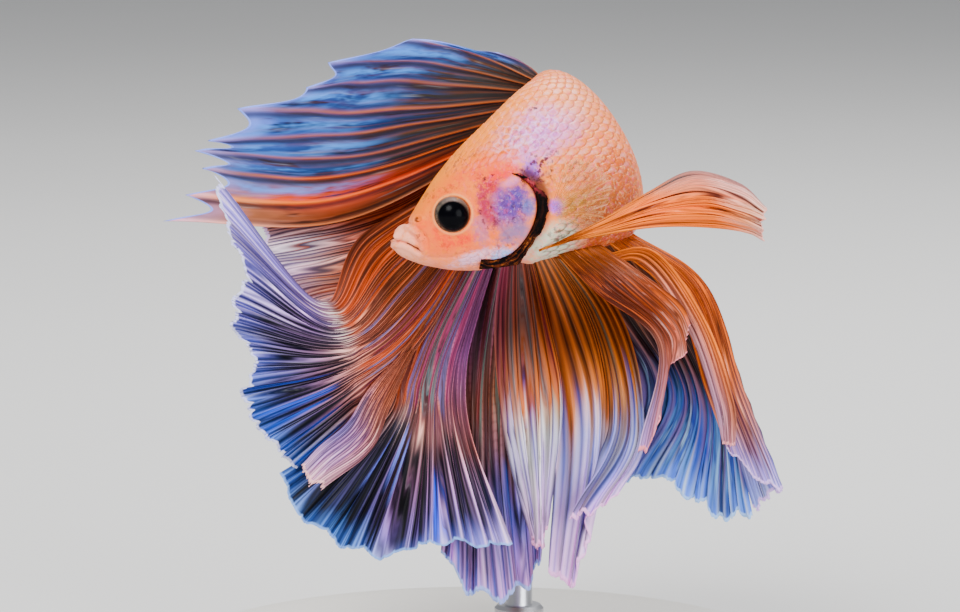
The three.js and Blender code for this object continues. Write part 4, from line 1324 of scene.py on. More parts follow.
    @staticmethod
    def facing(grid: np.ndarray) -> np.ndarray:
        """Directions square to a grid surface."""
        return unit(np.cross(np.gradient(grid, axis=0), np.gradient(grid, axis=1)))

    def build(self) -> None:
        """Make and dress the fin as a closed thin shell."""
        middle, u, q, t = self.lie()
        normal = self.facing(middle)
        away = np.abs(np.abs(q - np.round(q)) - self.finish.split(t))
        half = self.web + self.ridge * bump(away, 0.17)
        half = half * (1 - 0.55 * smooth((t - 0.93) / 0.07))
        front = middle + normal * half[..., None]
        back = middle - normal * half[..., None]
        points = np.concatenate([front.reshape(-1, 3), back.reshape(-1, 3)])
        crown = np.abs(np.sin(math.pi * self.beat(u, q, t)))
        traits = {"across": np.tile(u.ravel(), 2), "ray": np.tile(q.ravel(), 2),
                  "along": np.tile(t.ravel(), 2), "crown": np.tile(crown.ravel(), 2)}
        piece = make_piece(self.name, points, shell_faces(*u.shape), traits)
        ride(piece, self.finish.material(self.name, self.seed * 13.0), self.slot, *self.nodes)


def tail_fold(word: str, rays: tuple[tuple, ...], finish: FinFinish,
              **settings: float | Edge) -> RayFin:
    """One fold of the tail fin."""
    return RayFin(f"betta_tail_{word}", (f"caudal_fin_{word}",), "caudal_fin", Root.TAIL, rays,
                  finish, **settings)


def anal_fold(word: str, rays: tuple[tuple, ...], finish: FinFinish,
              **settings: float | Edge) -> RayFin:
    """One length of the anal fin."""
    return RayFin(f"betta_anal_{word}", (f"anal_fin_{word}",), "anal_fin", Root.BELLY, rays,
                  finish, **settings)


DORSAL = RayFin(
    "betta_dorsal_fin", ("dorsal_fin",), "dorsal_fin", Root.CREST,
    ((21.8, (4.0, 2.4, 20.6), (1.6, 2.6, 21.6)),
     (22.6, (-0.5, 3.2, 21.6), (-5.8, 4.0, 22.9)),
     (23.6, (-4.5, 4.4, 20.9), (-12.8, 5.0, 20.9)),
     (24.6, (-7.5, 5.4, 19.4), (-14.9, 6.0, 18.7)),
     (25.6, (-10.0, 6.4, 16.8), (-20.6, 7.0, 17.0)),
     (26.7, (-10.8, 7.4, 15.0), (-23.0, 8.0, 14.4)),
     (27.8, (-11.6, 8.2, 12.9), (-24.3, 9.0, 13.5)),
     (28.8, (-11.8, 9.0, 11.3), (-23.8, 9.5, 11.9)),
     (29.8, (-12.0, 9.6, 9.4), (-25.4, 10.0, 9.6)),
     (30.8, (-11.6, 10.2, 7.5), (-27.0, 10.5, 7.4))),
    FinFinish(bands=(
        Band(0.0, "0 5c4c38 .22 4c5258 .42 345088 .6 2c509c .85 3460b4 1 7c94d4",
             "0 d08a4c .3 b8703c .6 a86440 .85 8c6070 1 a898cc"),
        Band(0.5, "0 4c3c2c .22 3c4044 .42 284478 .65 2c5098 .88 3058a8 1 8098d8",
             "0 d0884c .3 c0703c .6 b46a48 .85 9c6874 1 b0a0d0"),
        Band(0.72, "0 543018 .22 443830 .42 2c3c58 .65 284c88 .88 3c64ac 1 8c98d0",
             "0 d8803c .3 cc7434 .6 bc6c44 .85 a87070 1 b8a4cc"),
        Band(0.8, "0 5c2c10 .22 6c2c0c .42 8c3c14 .62 5c4c54 .85 4c6ca8 1 8c98d0",
             "0 dc7c34 .3 e07828 .6 d87434 .85 b87c70 1 c0a4c4"),
        Band(0.88, "0 6c2408 .2 8c2804 .45 cc4408 .65 d45818 .8 b06448 1 ac8cac",
             "0 d87030 .3 e46c18 .6 f48c30 .8 e8a070 1 d4b0c4"),
        Band(0.95, "0 3c2010 .3 542014 .55 94401c .8 b0704c 1 b08cac",
             "0 b06830 .3 b86830 .6 d07c40 .8 e0a484 1 dcb8c4"),
        Band(1.0, "0 3c2414 .3 48281c .6 704434 .8 987068 1 a890a8",
             "0 a86434 .3 ac6840 .6 cc8454 .8 e0b09c 1 dcbccc")),
        streaks=(Streaks("#101c3c", .3, .96, .35, (0.02, 0.82), True),
                 Streaks("#38322c", .05, .45, .6, (0.02, 0.8), True),
                 Streaks("#2c1410", .05, .7, .5, (0.84, 1), True)),
        line=.1, fork=.62, spread=.04, thread_show=.15, under="#2c1c20", valley=.1, patchy=.25,
        cloud=3.0, margin="#93a4dc", margin_from=.991, rough=.42, glow="#78a8f0", glow_from=.36,
        fold_dark=0.0, fold_light=0.0),
    notch=.045, fine=1, rows=110, per_ray=28, ridge=.14, pleat=.2, pleat_from=.05, sway=.006,
    depth=.07, wave=.3, waves=4, gather=0, seed=3)

TAIL_UPPER = tail_fold(
    "upper",
    ((0.95, (-8.7, 12.6, 9.4), (-19.2, 11.8, 7.2)),
     (0.80, (-8.3, 12.4, 7.0), (-19.3, 11.2, 4.2)),
     (0.65, (-7.9, 12.0, 4.0), (-17.6, 10.2, 0.9)),
     (0.50, (-7.0, 11.4, 0.8), (-14.1, 9.2, -2.5))),
    FinFinish(bands=(
        Band(0.0, "0 8c3010 .45 a0380c .62 8c3410 .78 5c2c28 1 54404c",
             "0 d87434 .5 e88434 .75 e89c74 1 e4b8b4"),
        Band(0.3, "0 3c180c .45 54200c .6 4c2824 .75 5c4450 1 6c5c88",
             "0 b05c2c .5 c8703c .65 dca090 .8 f4d8dc 1 f0dcf0"),
        Band(0.6, "0 3c180c .5 602814 .7 54302c .85 745868 1 746090",
             "0 b05c2c .5 cc7038 .65 dc9068 .8 e8b4a4 1 e8d0e4"),
        Band(1.0, "0 4c2010 .5 5c2410 .75 503038 1 584c70",
             "0 b0602c .5 c07044 .75 d49c90 1 dcc8e0")),
        streaks=(Streaks("#a44c20", .2, .9, .3, (0, 1), True),),
        line=.15, fork=.3, patchy=.2),
    notch=.03, rows=80, pleat=.08, pleat_from=.2, sway=.012, wave=.5, waves=3, gather=.08, seed=5)

TAIL_FLAP = tail_fold(
    "flap",
    ((0.45, (-10.0, 8.2, 6.4), (-13.8, 4.4, 0.4), (-22.4, 1.5, 11.0)),
     (0.38, (-7.9, 8.6, 4.6), (-12.9, 4.3, -0.9), (-21.7, 1.5, 6.5)),
     (0.31, (-7.2, 8.6, 3.2), (-12.4, 4.2, -1.9), (-20.0, 1.8, 3.6)),
     (0.24, (-6.6, 8.5, 2.0), (-12.0, 4.2, -2.7), (-20.9, 2.3, 0.4)),
     (0.17, (-6.1, 8.4, 1.0), (-11.7, 4.4, -3.5), (-21.0, 2.8, -2.0)),
     (0.10, (-5.7, 8.3, 0.2), (-11.5, 4.7, -4.3), (-19.2, 3.6, -4.9)),
     (0.03, (-5.3, 8.2, -0.5), (-11.4, 4.9, -5.2), (-20.5, 4.8, -7.4)),
     (-0.04, (-4.9, 8.1, -1.1), (-11.2, 4.9, -6.4), (-19.4, 5.0, -10.2)),
     (-0.11, (-4.5, 8.0, -1.7), (-10.6, 4.7, -7.6), (-17.2, 4.6, -12.6)),
     (-0.18, (-4.2, 8.4, -1.7), (-9.9, 6.2, -8.4), (-15.8, 6.4, -13.9))),
    FinFinish(bands=(
        # the pale ray stops near .65 along, at the pinch where the flap folds back, are a painted
        # highlight on the fold's lip
        Band(0.0, "0 5c2410 .4 70301c .6 8c4834 .645 b88c98 .72 8c70b8 .85 8c7cc8 .97 b0a4e8",
             "0 b06030 .35 b85c2c .58 d87c58 .65 f8dcd8 .75 e0d0f8 1 dcd4fc"),
        Band(0.28, "0 5c2410 .4 6c3018 .6 8c4c40 .645 8c5c74 .7 2c1c40 .88 1c1840 .97 5450a0",
             "0 b06030 .4 b86c40 .6 e0a890 .65 f8d8d0 .76 d4b8e0 1 ccc4fa"),
        Band(0.5, "0 581f0c .4 682c18 .6 7c3c30 .645 6c3c4c .7 180f28 .88 0e0e28 .97 3c4898",
             "0 a85c2c .4 b46844 .6 d89c88 .66 ecc0b8 .78 b890b4 1 a8a8ec"),
        Band(0.75, "0 581f0c .45 6c3020 .62 7c4440 .7 140c24 .85 060a20 .965 183c84",
             "0 a85c2c .45 b87050 .62 dca490 .72 c08c94 .86 8074b4 1 80a0ec"),
        Band(1.0, "0 581f0c .5 74382c .66 8c504c .74 20143c .85 081038 .96 20489c",
             "0 a85c2c .5 c07c60 .68 dca498 .8 a07ca0 .9 7478bc 1 88a4ec")),
        streaks=(Streaks("#06081a", .68, .94, .5, (0.3, 1.0)),
                 Streaks("#2054c0", .76, .97, .22, (0.5, 1.0)), Streaks("#706c9c", .2, .6, .2),
                 Streaks("#b84c1c", .12, .62, .16), Streaks("#883458", .2, .62, .2, (0.3, 1.0))),
        line=.12, fork=.52, spread=.16, valley=.6, jitter=.02, thread_show=.15, margin="#d4d4fc",
        margin_from=.992, fold_dark=.6, fold_light=.3, fold_from=.64),
    notch=.008, fine=6, rows=96, per_ray=12, pleat=.13, pleat_from=.5, wave=.45, waves=9,
    edge=Edge.LOBED, depth=.026, ragged=.004, gather=.2, gather_over=7.0, fold=.35, fold_at=.655,
    seed=9)

TAIL_TONGUE = tail_fold(
    "tongue",
    ((-0.10, (-4.7, 7.8, -1.2), (-9.4, 4.3, -7.0), (-11.6, 1.9, -10.3), (-15.3, 0.0, -13.0)),
     (-0.15, (-4.5, 8.1, -1.0), (-8.9, 4.4, -7.6), (-10.9, 1.7, -11.0), (-14.9, -1.0, -13.9)),
     (-0.20, (-4.3, 8.5, -0.8), (-8.3, 4.8, -8.1), (-10.1, 1.8, -11.6), (-14.1, -1.7, -14.6)),
     (-0.26, (-4.1, 8.9, -0.6), (-7.7, 5.6, -8.5), (-9.3, 2.6, -12.2), (-12.9, -1.2, -15.2))),
    FinFinish(bands=(
        Band(0.0, "0 5c2410 .3 64281c .45 6c3428 .56 604058 .7 2c2450 .85 54407c 1 b48cb4",
             "0 a8582c .3 b46844 .48 d49480 .6 e0b4c4 .75 bca4dc .9 d0b4e0 1 f4d4e0"),
        Band(0.5, "0 5c2410 .3 64281c .45 783828 .58 744450 .75 54386c .9 74548c 1 c494b0",
             "0 a8582c .3 b46844 .48 cc8468 .62 e0aca8 .78 dcb4d0 .92 e8c4dc 1 f4ccd0"),
        Band(1.0, "0 6c2c14 .3 743420 .45 84402c .6 94544c .75 8c545c .9 94647c 1 c494a8",
             "0 b0603c .3 b8704c .48 cc8868 .62 e0a490 .78 e0a8a8 .92 e8b8bc 1 f4ccd0")),
        fork=.4, valley=.4, patchy=.3, beads=.3, margin="#f4c4c4", margin_from=.992),
    fine=6, rows=100, pleat=.08, pleat_from=.3, wave=.5, waves=3, curl=.8, gather=.1, seed=12)

TAIL_MIDDLE = tail_fold(
    "middle",
    ((-0.20, (-4.6, 9.4, 0.2), (-7.4, 7.6, -5.4), (-9.0, 6.8, -9.2), (-17.5, 6.4, -14.5)),
     (-0.27, (-4.0, 9.2, -0.4), (-6.5, 7.4, -6.0), (-8.0, 6.6, -10.2), (-15.4, 6.0, -18.3)),
     (-0.34, (-3.4, 9.0, -0.8), (-5.6, 7.2, -6.2), (-6.8, 6.3, -10.6), (-11.8, 5.6, -20.8)),
     (-0.41, (-2.8, 8.8, -1.0), (-4.7, 6.8, -6.2), (-5.5, 5.9, -10.8), (-8.2, 4.8, -21.6)),
     (-0.48, (-2.1, 8.6, -1.1), (-3.8, 6.5, -6.1), (-4.1, 5.4, -10.8), (-3.8, 3.4, -20.5)),
     (-0.55, (-1.2, 8.4, -1.2), (-2.6, 6.3, -6.0), (-2.5, 4.9, -10.8), (-0.2, 1.6, -20.5)),
     (-0.62, (-0.2, 8.2, -1.0), (-1.2, 6.1, -6.0), (-0.7, 4.6, -11.2), (2.6, -0.4, -20.3))),
    FinFinish(bands=(
        # the pale ray stops near .75 along, where the rays leave the narrow pinch, are a painted
        # highlight
        Band(0.0, "0 5c2410 .5 743024 .68 7c4438 .76 2c2448 .84 080c28 .95 081438 .985 20489c",
             "0 b0603c .5 bc7850 .68 dca090 .78 b890b0 .9 7468a4 1 90b0f4"),
        Band(0.3, "0 64281c .4 843c38 .64 904c40 .72 946464 .77 282440 .81 050714 .95 040816 "
                  ".985 1c448c",
             "0 b0643c .4 b87060 .64 cc8868 .75 f0d0cc .82 8878a8 .93 4c5494 1 8cb0f8"),
        Band(0.55, "0 5c2820 .4 7c3858 .66 8c4850 .75 8c5858 .8 141028 .9 05081c .965 0c1440 "
                   ".99 4858ac",
             "0 a86044 .4 b0687c .66 cc8870 .76 f0c0b8 .85 d0a0c8 .94 b8a0dc 1 c4c4fc"),
        Band(0.8, "0 5c3040 .4 84447c .68 84485c .77 84505c .83 14102c .94 101438 .985 8c8cd4",
             "0 a86080 .4 b86c98 .68 c07c74 .78 e8b8b8 .87 e0c0e0 .95 c8b4ec 1 d8d0fc"),
        Band(1.0, "0 5c3448 .4 7c407c .7 84485c .8 7c4448 .87 241838 .95 24285c 1 b8a8e4",
             "0 a4608c .4 b06ca8 .7 bc7c7c .8 c88c84 .88 e4c4d8 .95 dcccf4 1 e4d8fc")),
        streaks=(Streaks("#2058d0", .84, .985, .14, (0.05, 0.75)),
                 Streaks("#010206", .79, .985, .7, (0.08, 1.0)),
                 Streaks("#5c7074", .08, .68, .3, (0.35, 1.0)),
                 Streaks("#8c98dc", .77, .87, .16, (0.2, 0.6)),
                 Streaks("#705c94", .1, .72, .3, (0.0, 0.8)),
                 Streaks("#b85020", .08, .66, .2, (0.0, 0.6)),
                 Streaks("#9c3468", .1, .66, .25, (0.3, 1.0))),
        line=.09, fork=.72, spread=.14, thread_show=.14, valley=.6, jitter=.02, margin="#a4bcf8",
        margin_from=.9965, beads=.35, fold_dark=.55, fold_light=.0, root_dark=.15),
    notch=.008, fine=4, rows=120, per_ray=15, pleat=.14, pleat_from=.5, wave=.5, edge=Edge.LOBED,
    depth=.006, gather=.16, gather_over=1.8, seed=15)

TAIL_BACK = tail_fold(
    "back",
    ((-0.60, (-2.0, 9.6, -3.0), (-2.6, 7.6, -13.0), (-3.4, 8.0, -21.6)),
     (-0.61, (-0.4, 9.2, -3.0), (-0.9, 7.0, -13.0), (-1.1, 8.4, -24.7)),
     (-0.62, (1.2, 9.0, -3.0), (0.9, 6.8, -13.0), (2.1, 8.8, -25.8)),
     (-0.63, (3.2, 9.4, -3.0), (3.2, 7.4, -13.0), (4.2, 9.0, -24.3)),
     (-0.64, (6.2, 10.4, -3.0), (6.0, 8.6, -12.4), (5.3, 9.0, -22.2))),
    FinFinish(bands=(
        Band(0.0, "0 5c3044 .3 64305c .5 6c383c .68 5c3448 .78 0c1030 .92 14245c 1 6c7ccc",
             "0 a06080 .3 a8589c .5 b06474 .68 b07c8c .82 a088b8 1 d8b8e4"),
        Band(0.35, "0 5c4c3c .3 604850 .5 6c4438 .68 5c3c48 .78 0c1030 .92 14245c 1 6c7ccc",
             "0 a87458 .3 a46494 .5 b47060 .68 b08488 .82 a48cc0 1 dcb8e4"),
        Band(0.65, "0 6c3c20 .3 703828 .5 743420 .68 603838 .8 141838 1 7078c0",
             "0 b87040 .3 b87060 .5 c07844 .68 b88c98 .82 a098d8 1 e0bce4"),
        Band(1.0, "0 5c4428 .5 6c4c2c .68 5c4448 .8 141838 1 7078c0",
             "0 b88048 .5 bc8450 .68 b090a8 .82 a098d8 1 e0bce4")),
        streaks=(Streaks("#2450b4", .76, .95, .25), Streaks("#04061c", .74, .93, .5),
                 Streaks("#6c7c74", .05, .62, .35), Streaks("#7c2c30", .05, .6, .25)),
        line=.17, fork=.5, fold_dark=.6, fold_from=.6, root_dark=.2, valley=.3, margin="#b8c4fc",
        beads=.3),
    notch=.02, fine=4, rows=96, per_ray=13, pleat=.12, wave=.3, waves=5, edge=Edge.LOBED,
    depth=.012, ragged=.01, gather=.2, gather_over=1.5, seed=18)

TAIL_PLEAT = tail_fold(
    "pleat",
    ((-0.68, (1.3, 7.6, -0.6), (2.0, 4.6, -10.6), (4.8, 2.6, -20.4)),
     (-0.74, (3.0, 7.2, -0.4), (3.6, 2.8, -9.6), (5.1, 2.2, -20.7)),
     (-0.80, (4.5, 7.2, -0.4), (5.4, 2.4, -9.3), (5.4, 2.0, -20.3)),
     (-0.86, (5.8, 7.8, -0.8), (7.2, 3.6, -8.8), (5.6, 2.4, -18.7))),
    FinFinish(bands=(
        Band(0.0, "0 54203c .3 5c2c48 .5 683030 .63 743c34 .69 54306c .75 9078cc .9 8470c8 "
                  "1 d0a8d8",
             "0 985068 .3 a0506c .5 b06854 .63 c07850 .69 f0c8c8 .76 f4e4ff 1 f8d0ec"),
        Band(0.5, "0 5c2424 .3 6c3024 .5 7c3820 .63 843c28 .69 5c3470 .75 9880d0 .9 8c78cc "
                  "1 d0a8d8",
             "0 a85c50 .3 b0644c .5 c07440 .63 c87c48 .69 f4d0c8 .76 f8ecff 1 f8d0ec"),
        Band(1.0, "0 602814 .3 703820 .5 8c4424 .63 8c4c30 .69 6c4870 .75 7c70c8 .9 7468c4 "
                  "1 d0a8d8",
             "0 b0683c .3 c07434 .5 d48c48 .63 d89454 .69 f4d0bc .76 f8ecff 1 f8d0ec")),
        streaks=(Streaks("#8c2c48", .1, .6, .3), Streaks("#5c4cac", .72, .95, .3),
                 Streaks("#6c6c70", .1, .6, .2), Streaks("#3c2050", .66, .8, .4)),
        line=.24, flame=.14, fold_dark=.8, fold_light=.15, root_dark=.35, fold_from=.58, fork=.35,
        valley=.65, margin="#f4bcd4"),
    fine=4, rows=96, per_ray=7, pleat=.12, pleat_from=.3, wave=.5, waves=4, ragged=.012,
    gather=.26, gather_over=1.8, seed=21)

TAIL_LOWER = tail_fold(
    "lower",
    ((-0.80, (5.6, 9.9, -1.5), (6.5, 7.0, -12.2), (5.9, 5.8, -22.8)),
     (-0.84, (7.4, 9.8, -1.2), (9.4, 6.8, -10.4), (7.7, 5.9, -24.2)),
     (-0.88, (9.0, 9.6, -1.0), (10.6, 6.6, -10.2), (8.5, 5.6, -22.6)),
     (-0.90, (9.5, 9.7, -0.9), (11.1, 6.4, -10.2), (9.4, 4.8, -17.6)),
     (-0.92, (10.0, 9.8, -0.8), (11.8, 6.2, -10.4), (7.9, 3.9, -18.2)),
     (-0.96, (11.0, 10.0, -0.6), (13.0, 6.2, -10.8), (9.4, 3.3, -17.8)),
     (-1.00, (12.0, 10.2, -0.4), (14.3, 6.8, -11.0), (11.9, 4.0, -16.1))),
    FinFinish(bands=(
        Band(0.0, "0 684c30 .3 6c4c38 .5 8c4c2c .63 8c5038 .69 5c4c88 .76 6c80dc .9 5470dc "
                  "1 b898d8",
             "0 c07c40 .3 c88048 .5 d48c48 .63 dc9860 .7 e8c8cc .78 ccc8ff 1 f4c8e4"),
        Band(0.5, "0 744828 .3 744c28 .5 905020 .6 945438 .66 5c5498 .73 6c84e0 .9 5474e0 1 b8a0dc",
             "0 c47e40 .3 cc823c .5 d88e44 .6 e09c68 .67 e8ccd0 .76 ccccff 1 f4ccec"),
        Band(1.0, "0 784820 .3 804818 .5 984c18 .58 a0603c .66 5c74d0 .86 4c70dc 1 b4a0e4",
             "0 c88040 .3 d08434 .5 dc9040 .58 ecb898 .7 c8ccff 1 f0c8ec")),
        streaks=(Streaks("#6c7868", .06, .58, .35), Streaks("#2040a8", .7, .95, .3),
                 Streaks("#5c2410", .1, .64, .3)),
        line=.24, flame=.16, fold_dark=.8, fold_light=.15, root_dark=.2, fork=.4, valley=.65,
        margin="#f0bcd8", margin_from=.989, light=1.2),
    fine=2, rows=96, per_ray=16, pleat=.13, pleat_from=.35, wave=.35, edge=Edge.LOBED, depth=.012,
    ragged=.01, gather=.26, gather_over=1.35, seed=24)

ANAL_FRONT = anal_fold(
    "front",
    ((12.6, (9.6, -7.6, 1.2), (14.8, -9.0, -3.4), (13.2, -8.6, -12.2)),
     (13.3, (10.4, -7.8, 1.6), (15.3, -9.2, -3.0), (14.2, -8.4, -11.6)),
     (14.0, (11.2, -7.8, 2.0), (15.6, -9.0, -2.4), (15.4, -8.6, -5.6)),
     (15.0, (12.4, -7.2, 2.4), (16.2, -8.0, -1.2), (17.2, -7.6, -4.0)),
     (16.0, (13.6, -6.2, 2.6), (16.4, -6.6, 0.2), (17.4, -6.4, -1.6))),
    FinFinish(bands=(
        Band(0.0, "0 a05c20 .25 5c1a02 .55 642008 .72 905040 .85 8c6c94 1 b494c8",
             "0 c87c38 .25 b45420 .55 bc6030 .72 c88c7c .88 c8a8cc 1 e0c4e8"),
        Band(0.5, "0 a05820 .3 5c1c02 .6 742808 .85 b46850 1 d0948c",
             "0 cc7c34 .3 ac4c14 .6 bc5c2c .85 dc9484 1 e8b8b0"),
        Band(1.0, "0 a05820 .4 903c08 .8 a04c18 1 b87058",
             "0 cc7c34 .4 d06c24 .8 d47c3c 1 e0a08c")),
        fork=.3, valley=.35, patchy=.25, margin="#e4b0b8", light=1.65),
    fine=7, rows=84, pleat_from=.15, wave=.25, waves=3, seed=27)

ANAL_BEND = anal_fold(
    "bend",
    ((17.0, (16.4, -3.4, 0.6), (19.0, -3.2, -7.0), (20.8, -2.8, -12.0)),
     (18.4, (17.6, -2.2, 1.2), (20.6, -2.0, -7.4), (23.4, -2.0, -14.6)),
     (20.0, (18.9, -0.6, 2.0), (22.1, -0.4, -7.0), (25.5, -0.8, -15.6)),
     (21.4, (18.9, 1.6, 1.6), (22.0, 2.0, -7.4), (25.0, 2.0, -16.2)),
     (22.8, (18.2, 3.8, 1.2), (20.8, 4.2, -8.0), (23.6, 4.4, -17.6))),
    FinFinish(bands=(
        Band(0.0, "0 8c3c10 .4 943c08 .62 94401c .78 8c5048 .9 7c5c84 1 a890cc",
             "0 ec9040 .4 f08834 .62 e88c48 .8 dca48c .92 d4b0c4 1 d8c4ec"),
        Band(1.0, "0 a04408 .4 a84408 .62 9c5030 .78 745878 .9 5c68a8 1 8c98dc",
             "0 e8883c .4 ec8030 .62 dc8c58 .8 bc9cb0 .92 a8acdc 1 c0c8f8")),
        streaks=(Streaks("#542008", .05, .75, .4, (0, 1), True), Streaks("#5c3048", .6, .95, .3)),
        line=.15, fork=.3, valley=.3, patchy=.25, margin="#d6c4f4"),
    notch=.012, rows=92, pleat_from=.2, wave=.3, waves=4, edge=Edge.LOBED, depth=.012, ragged=.01,
    seed=30)

ANAL_REAR = anal_fold(
    "rear",
    ((22.9, (18.1, 4.1, 1.1), (21.6, 4.5, -8.0), (23.5, 4.6, -17.7)),
     (25.2, (16.8, 8.0, 0.2), (20.6, 7.6, -8.6), (20.8, 6.8, -18.7)),
     (27.2, (15.6, 10.2, -0.2), (19.4, 9.6, -8.4), (18.0, 8.4, -16.5)),
     (29.0, (14.2, 12.0, -0.4), (18.0, 11.2, -8.0), (14.8, 9.8, -15.0)),
     (31.0, (12.2, 13.6, -0.4), (15.8, 12.6, -7.6), (12.0, 11.2, -15.6)),
     (33.0, (9.8, 14.8, -0.4), (12.6, 13.8, -7.6), (9.4, 12.4, -16.4))),
    FinFinish(bands=(
        Band(0.0, "0 7c3414 .35 74341c .5 442c30 .6 1c2c54 .7 3060c0 .85 2c58bc .97 7094e0",
             "0 c06c2c .35 c07038 .5 b07860 .64 a0708c .85 8c70a8 1 b8c8fc"),
        Band(0.6, "0 6c3418 .35 6c381c .5 3c2830 .6 1c2c54 .7 2c58b8 .85 2854b8 .97 6c90dc",
             "0 a86434 .35 b07040 .5 a8705c .66 a07894 .85 8c7cb8 1 bcccfc"),
        Band(1.0, "0 5c3c28 .35 6c4028 .55 7c6880 .7 706cb0 .97 a098dc",
             "0 a06438 .35 a86c40 .55 bca4b8 .7 bcb4ec 1 d8d0fc")),
        streaks=(Streaks("#060a18", .5, .96, .38, (0.0, 0.95), True),
                 Streaks("#14265c", .55, .97, .35, (0.0, 0.9)),
                 Streaks("#b4ccfc", .62, .96, .15, (0.0, 0.9), True),
                 Streaks("#0c0c18", .3, .6, .4)),
        line=.09, threads=4, thread_show=.12, fork=.5, valley=.85, margin="#b4c8fc", light=1.25,
        glow="#94b8ff", glow_from=.54, flame=.05, fold_dark=.7, fold_from=.45),
    notch=.02, fine=2, rows=92, per_ray=22, pleat=.14, pleat_from=.3, wave=.3, waves=5,
    edge=Edge.LOBED, depth=.03, ragged=.008, gather=.24, gather_over=1.0, seed=33)

PELVIC_LEFT = RayFin(
    "betta_pelvic_left", ("pelvic_fin_left",), "pelvic_fin", Root.LEFT_BREAST,
    ((0, (9.8, -8.9, 7.0), (13.9, -9.4, 9.4), (17.6, -8.8, 11.2), (21.6, -8.2, 10.2),
      (23.7, -7.4, 8.3)),
     (0.5, (9.9, -9.1, 6.4), (14.3, -9.6, 8.0), (18.6, -9.0, 8.6), (21.6, -9.0, 7.9),
      (23.5, -8.6, 7.2)),
     (1, (10.0, -9.2, 5.9), (14.7, -9.6, 6.6), (19.4, -9.2, 6.5), (22.2, -8.6, 6.1),
      (23.5, -7.9, 5.5))),
    FinFinish(bands=(
        Band(0.0, "0 b86430 .4 a05028 .5 6c3c3c .8 7c4c54 .93 945858 1 b87878",
             "0 f0a860 .4 ec9450 .52 d8a898 .8 e0b8b0 1 f0c8c0"),
        Band(0.3, "0 b85414 .4 8c3008 .5 6c2c20 .8 74342c .93 8c4030 1 c88070",
             "0 f4a458 .4 f08c38 .55 e0a078 .8 e0a890 1 f8c8b8"),
        Band(0.42, "0 b85414 .4 983404 .7 983c08 .88 b06c44 1 c88070",
             "0 f4a458 .4 f48c30 .7 f49038 .88 f4b08c 1 f8c8b8"),
        Band(1.0, "0 b85818 .4 a03c08 .7 a0440c .88 b47054 1 c88880",
             "0 f4a860 .4 f09038 .7 f09444 .88 f4b8a0 1 f8c8c4")),
        streaks=(Streaks("#5c1c10", .45, .95, .35, (0, 1), True),),
        line=.15, fork=.25, spread=.15, valley=.4, patchy=.3, margin="#f8c8c0", clear_edge=.4,
        fold_dark=.6, fold_from=.6, light=1.5),
    rows=120, pleat=.07, pleat_from=.1, wave=.3, waves=3, edge=Edge.LOBED, depth=.035, ragged=.008,
    gather=.16, gather_over=5.3, seed=36)

PELVIC_RIGHT = RayFin(
    "betta_pelvic_right", ("pelvic_fin_right",), "pelvic_fin", Root.RIGHT_BREAST,
    ((0, (9.6, -2.0, 3.4), (13.6, -4.6, 3.6), (17.4, -5.4, -1.8), (19.6, -5.4, -8.0),
      (20.4, -4.8, -11.6)),
     (1, (9.8, -2.2, 4.2), (14.6, -4.8, 4.6), (18.9, -5.6, -1.2), (21.2, -5.6, -8.0),
      (21.4, -5.0, -11.8))),
    FinFinish(bands=(
        Band(0.0, "0 b8641c .4 a85418 .6 8c5850 .85 906c84 1 a87888",
             "0 e89448 .4 dc8c50 .6 cc9c94 .85 c8a4bc 1 d8b4c4"),
        Band(1.0, "0 b8641c .4 b0540c .7 a85014 .88 985c4c 1 a87078",
             "0 f0984c .4 ec9040 .7 e48c48 .88 dc9c80 1 e0b0b4")),
        fork=.25, spread=.15, valley=.25, patchy=.25, margin="#e8b4b8"),
    fine=9, rows=130, pleat=.07, pleat_from=.1, seed=39)


@dataclass(frozen=True)
class PectoralFins:
    """Two small clear fans on the flanks, just behind the gill covers."""

    form: BodyForm = BodyForm()
    along: float = 12.8
    height: float = -2.6
    length: float = 3.3
    start: float = -60.0
    end: float = 64.0
    finish: FinFinish = FinFinish(
        bands=(Band(0.0, "0 c8963c 1 e8b890", "0 a87018 .5 c8903c 1 e8b890"),),
        line=.1, fork=.3, spread=.16, valley=.0, patchy=.0, sheen=.0, margin="#e8b890",
        margin_from=1.1, clear=.02, rough=.4)

    def build(self) -> None:
        """Make and dress both fins."""
        for side, name in ((-1, "left"), (1, "right")):
            rays = []
            for share in np.linspace(0, 1, 7):
                turn = (self.start + share * (self.end - self.start)) * DEG
                ray = []
                for reach in (0, 0.5, 1):
                    s = self.along + 0.2 + reach * self.length * math.cos(turn)
                    h = self.height + 0.7 * (share - 0.5) + reach * self.length * math.sin(turn)
                    out = 0.2 + 0.75 * reach * (1.4 - 0.4 * reach)
                    ray.append(tuple(self.form.flank(np.array(s), np.array(h), side, out)))
                rays.append(tuple(ray))
            RayFin(f"betta_pectoral_{name}", (f"pectoral_fin_{name}",), "clear_fin", Root.GIVEN,
                   tuple(rays), self.finish, fine=4, rows=50, pleat=.03, web=.02, ridge=.035,
                   ragged=.03, seed=42).build()


@dataclass(frozen=True)
class Fins:
    """Every fin of the fish."""

    sheets: tuple[RayFin, ...] = (
        DORSAL, TAIL_UPPER, TAIL_FLAP, TAIL_TONGUE, TAIL_MIDDLE, TAIL_BACK, TAIL_PLEAT, TAIL_LOWER,
        ANAL_FRONT, ANAL_BEND, ANAL_REAR, PELVIC_LEFT, PELVIC_RIGHT)

    def build(self) -> None:
        """Make and dress the fins one after another."""
        for sheet in self.sheets:
            sheet.build()
        PectoralFins().build()


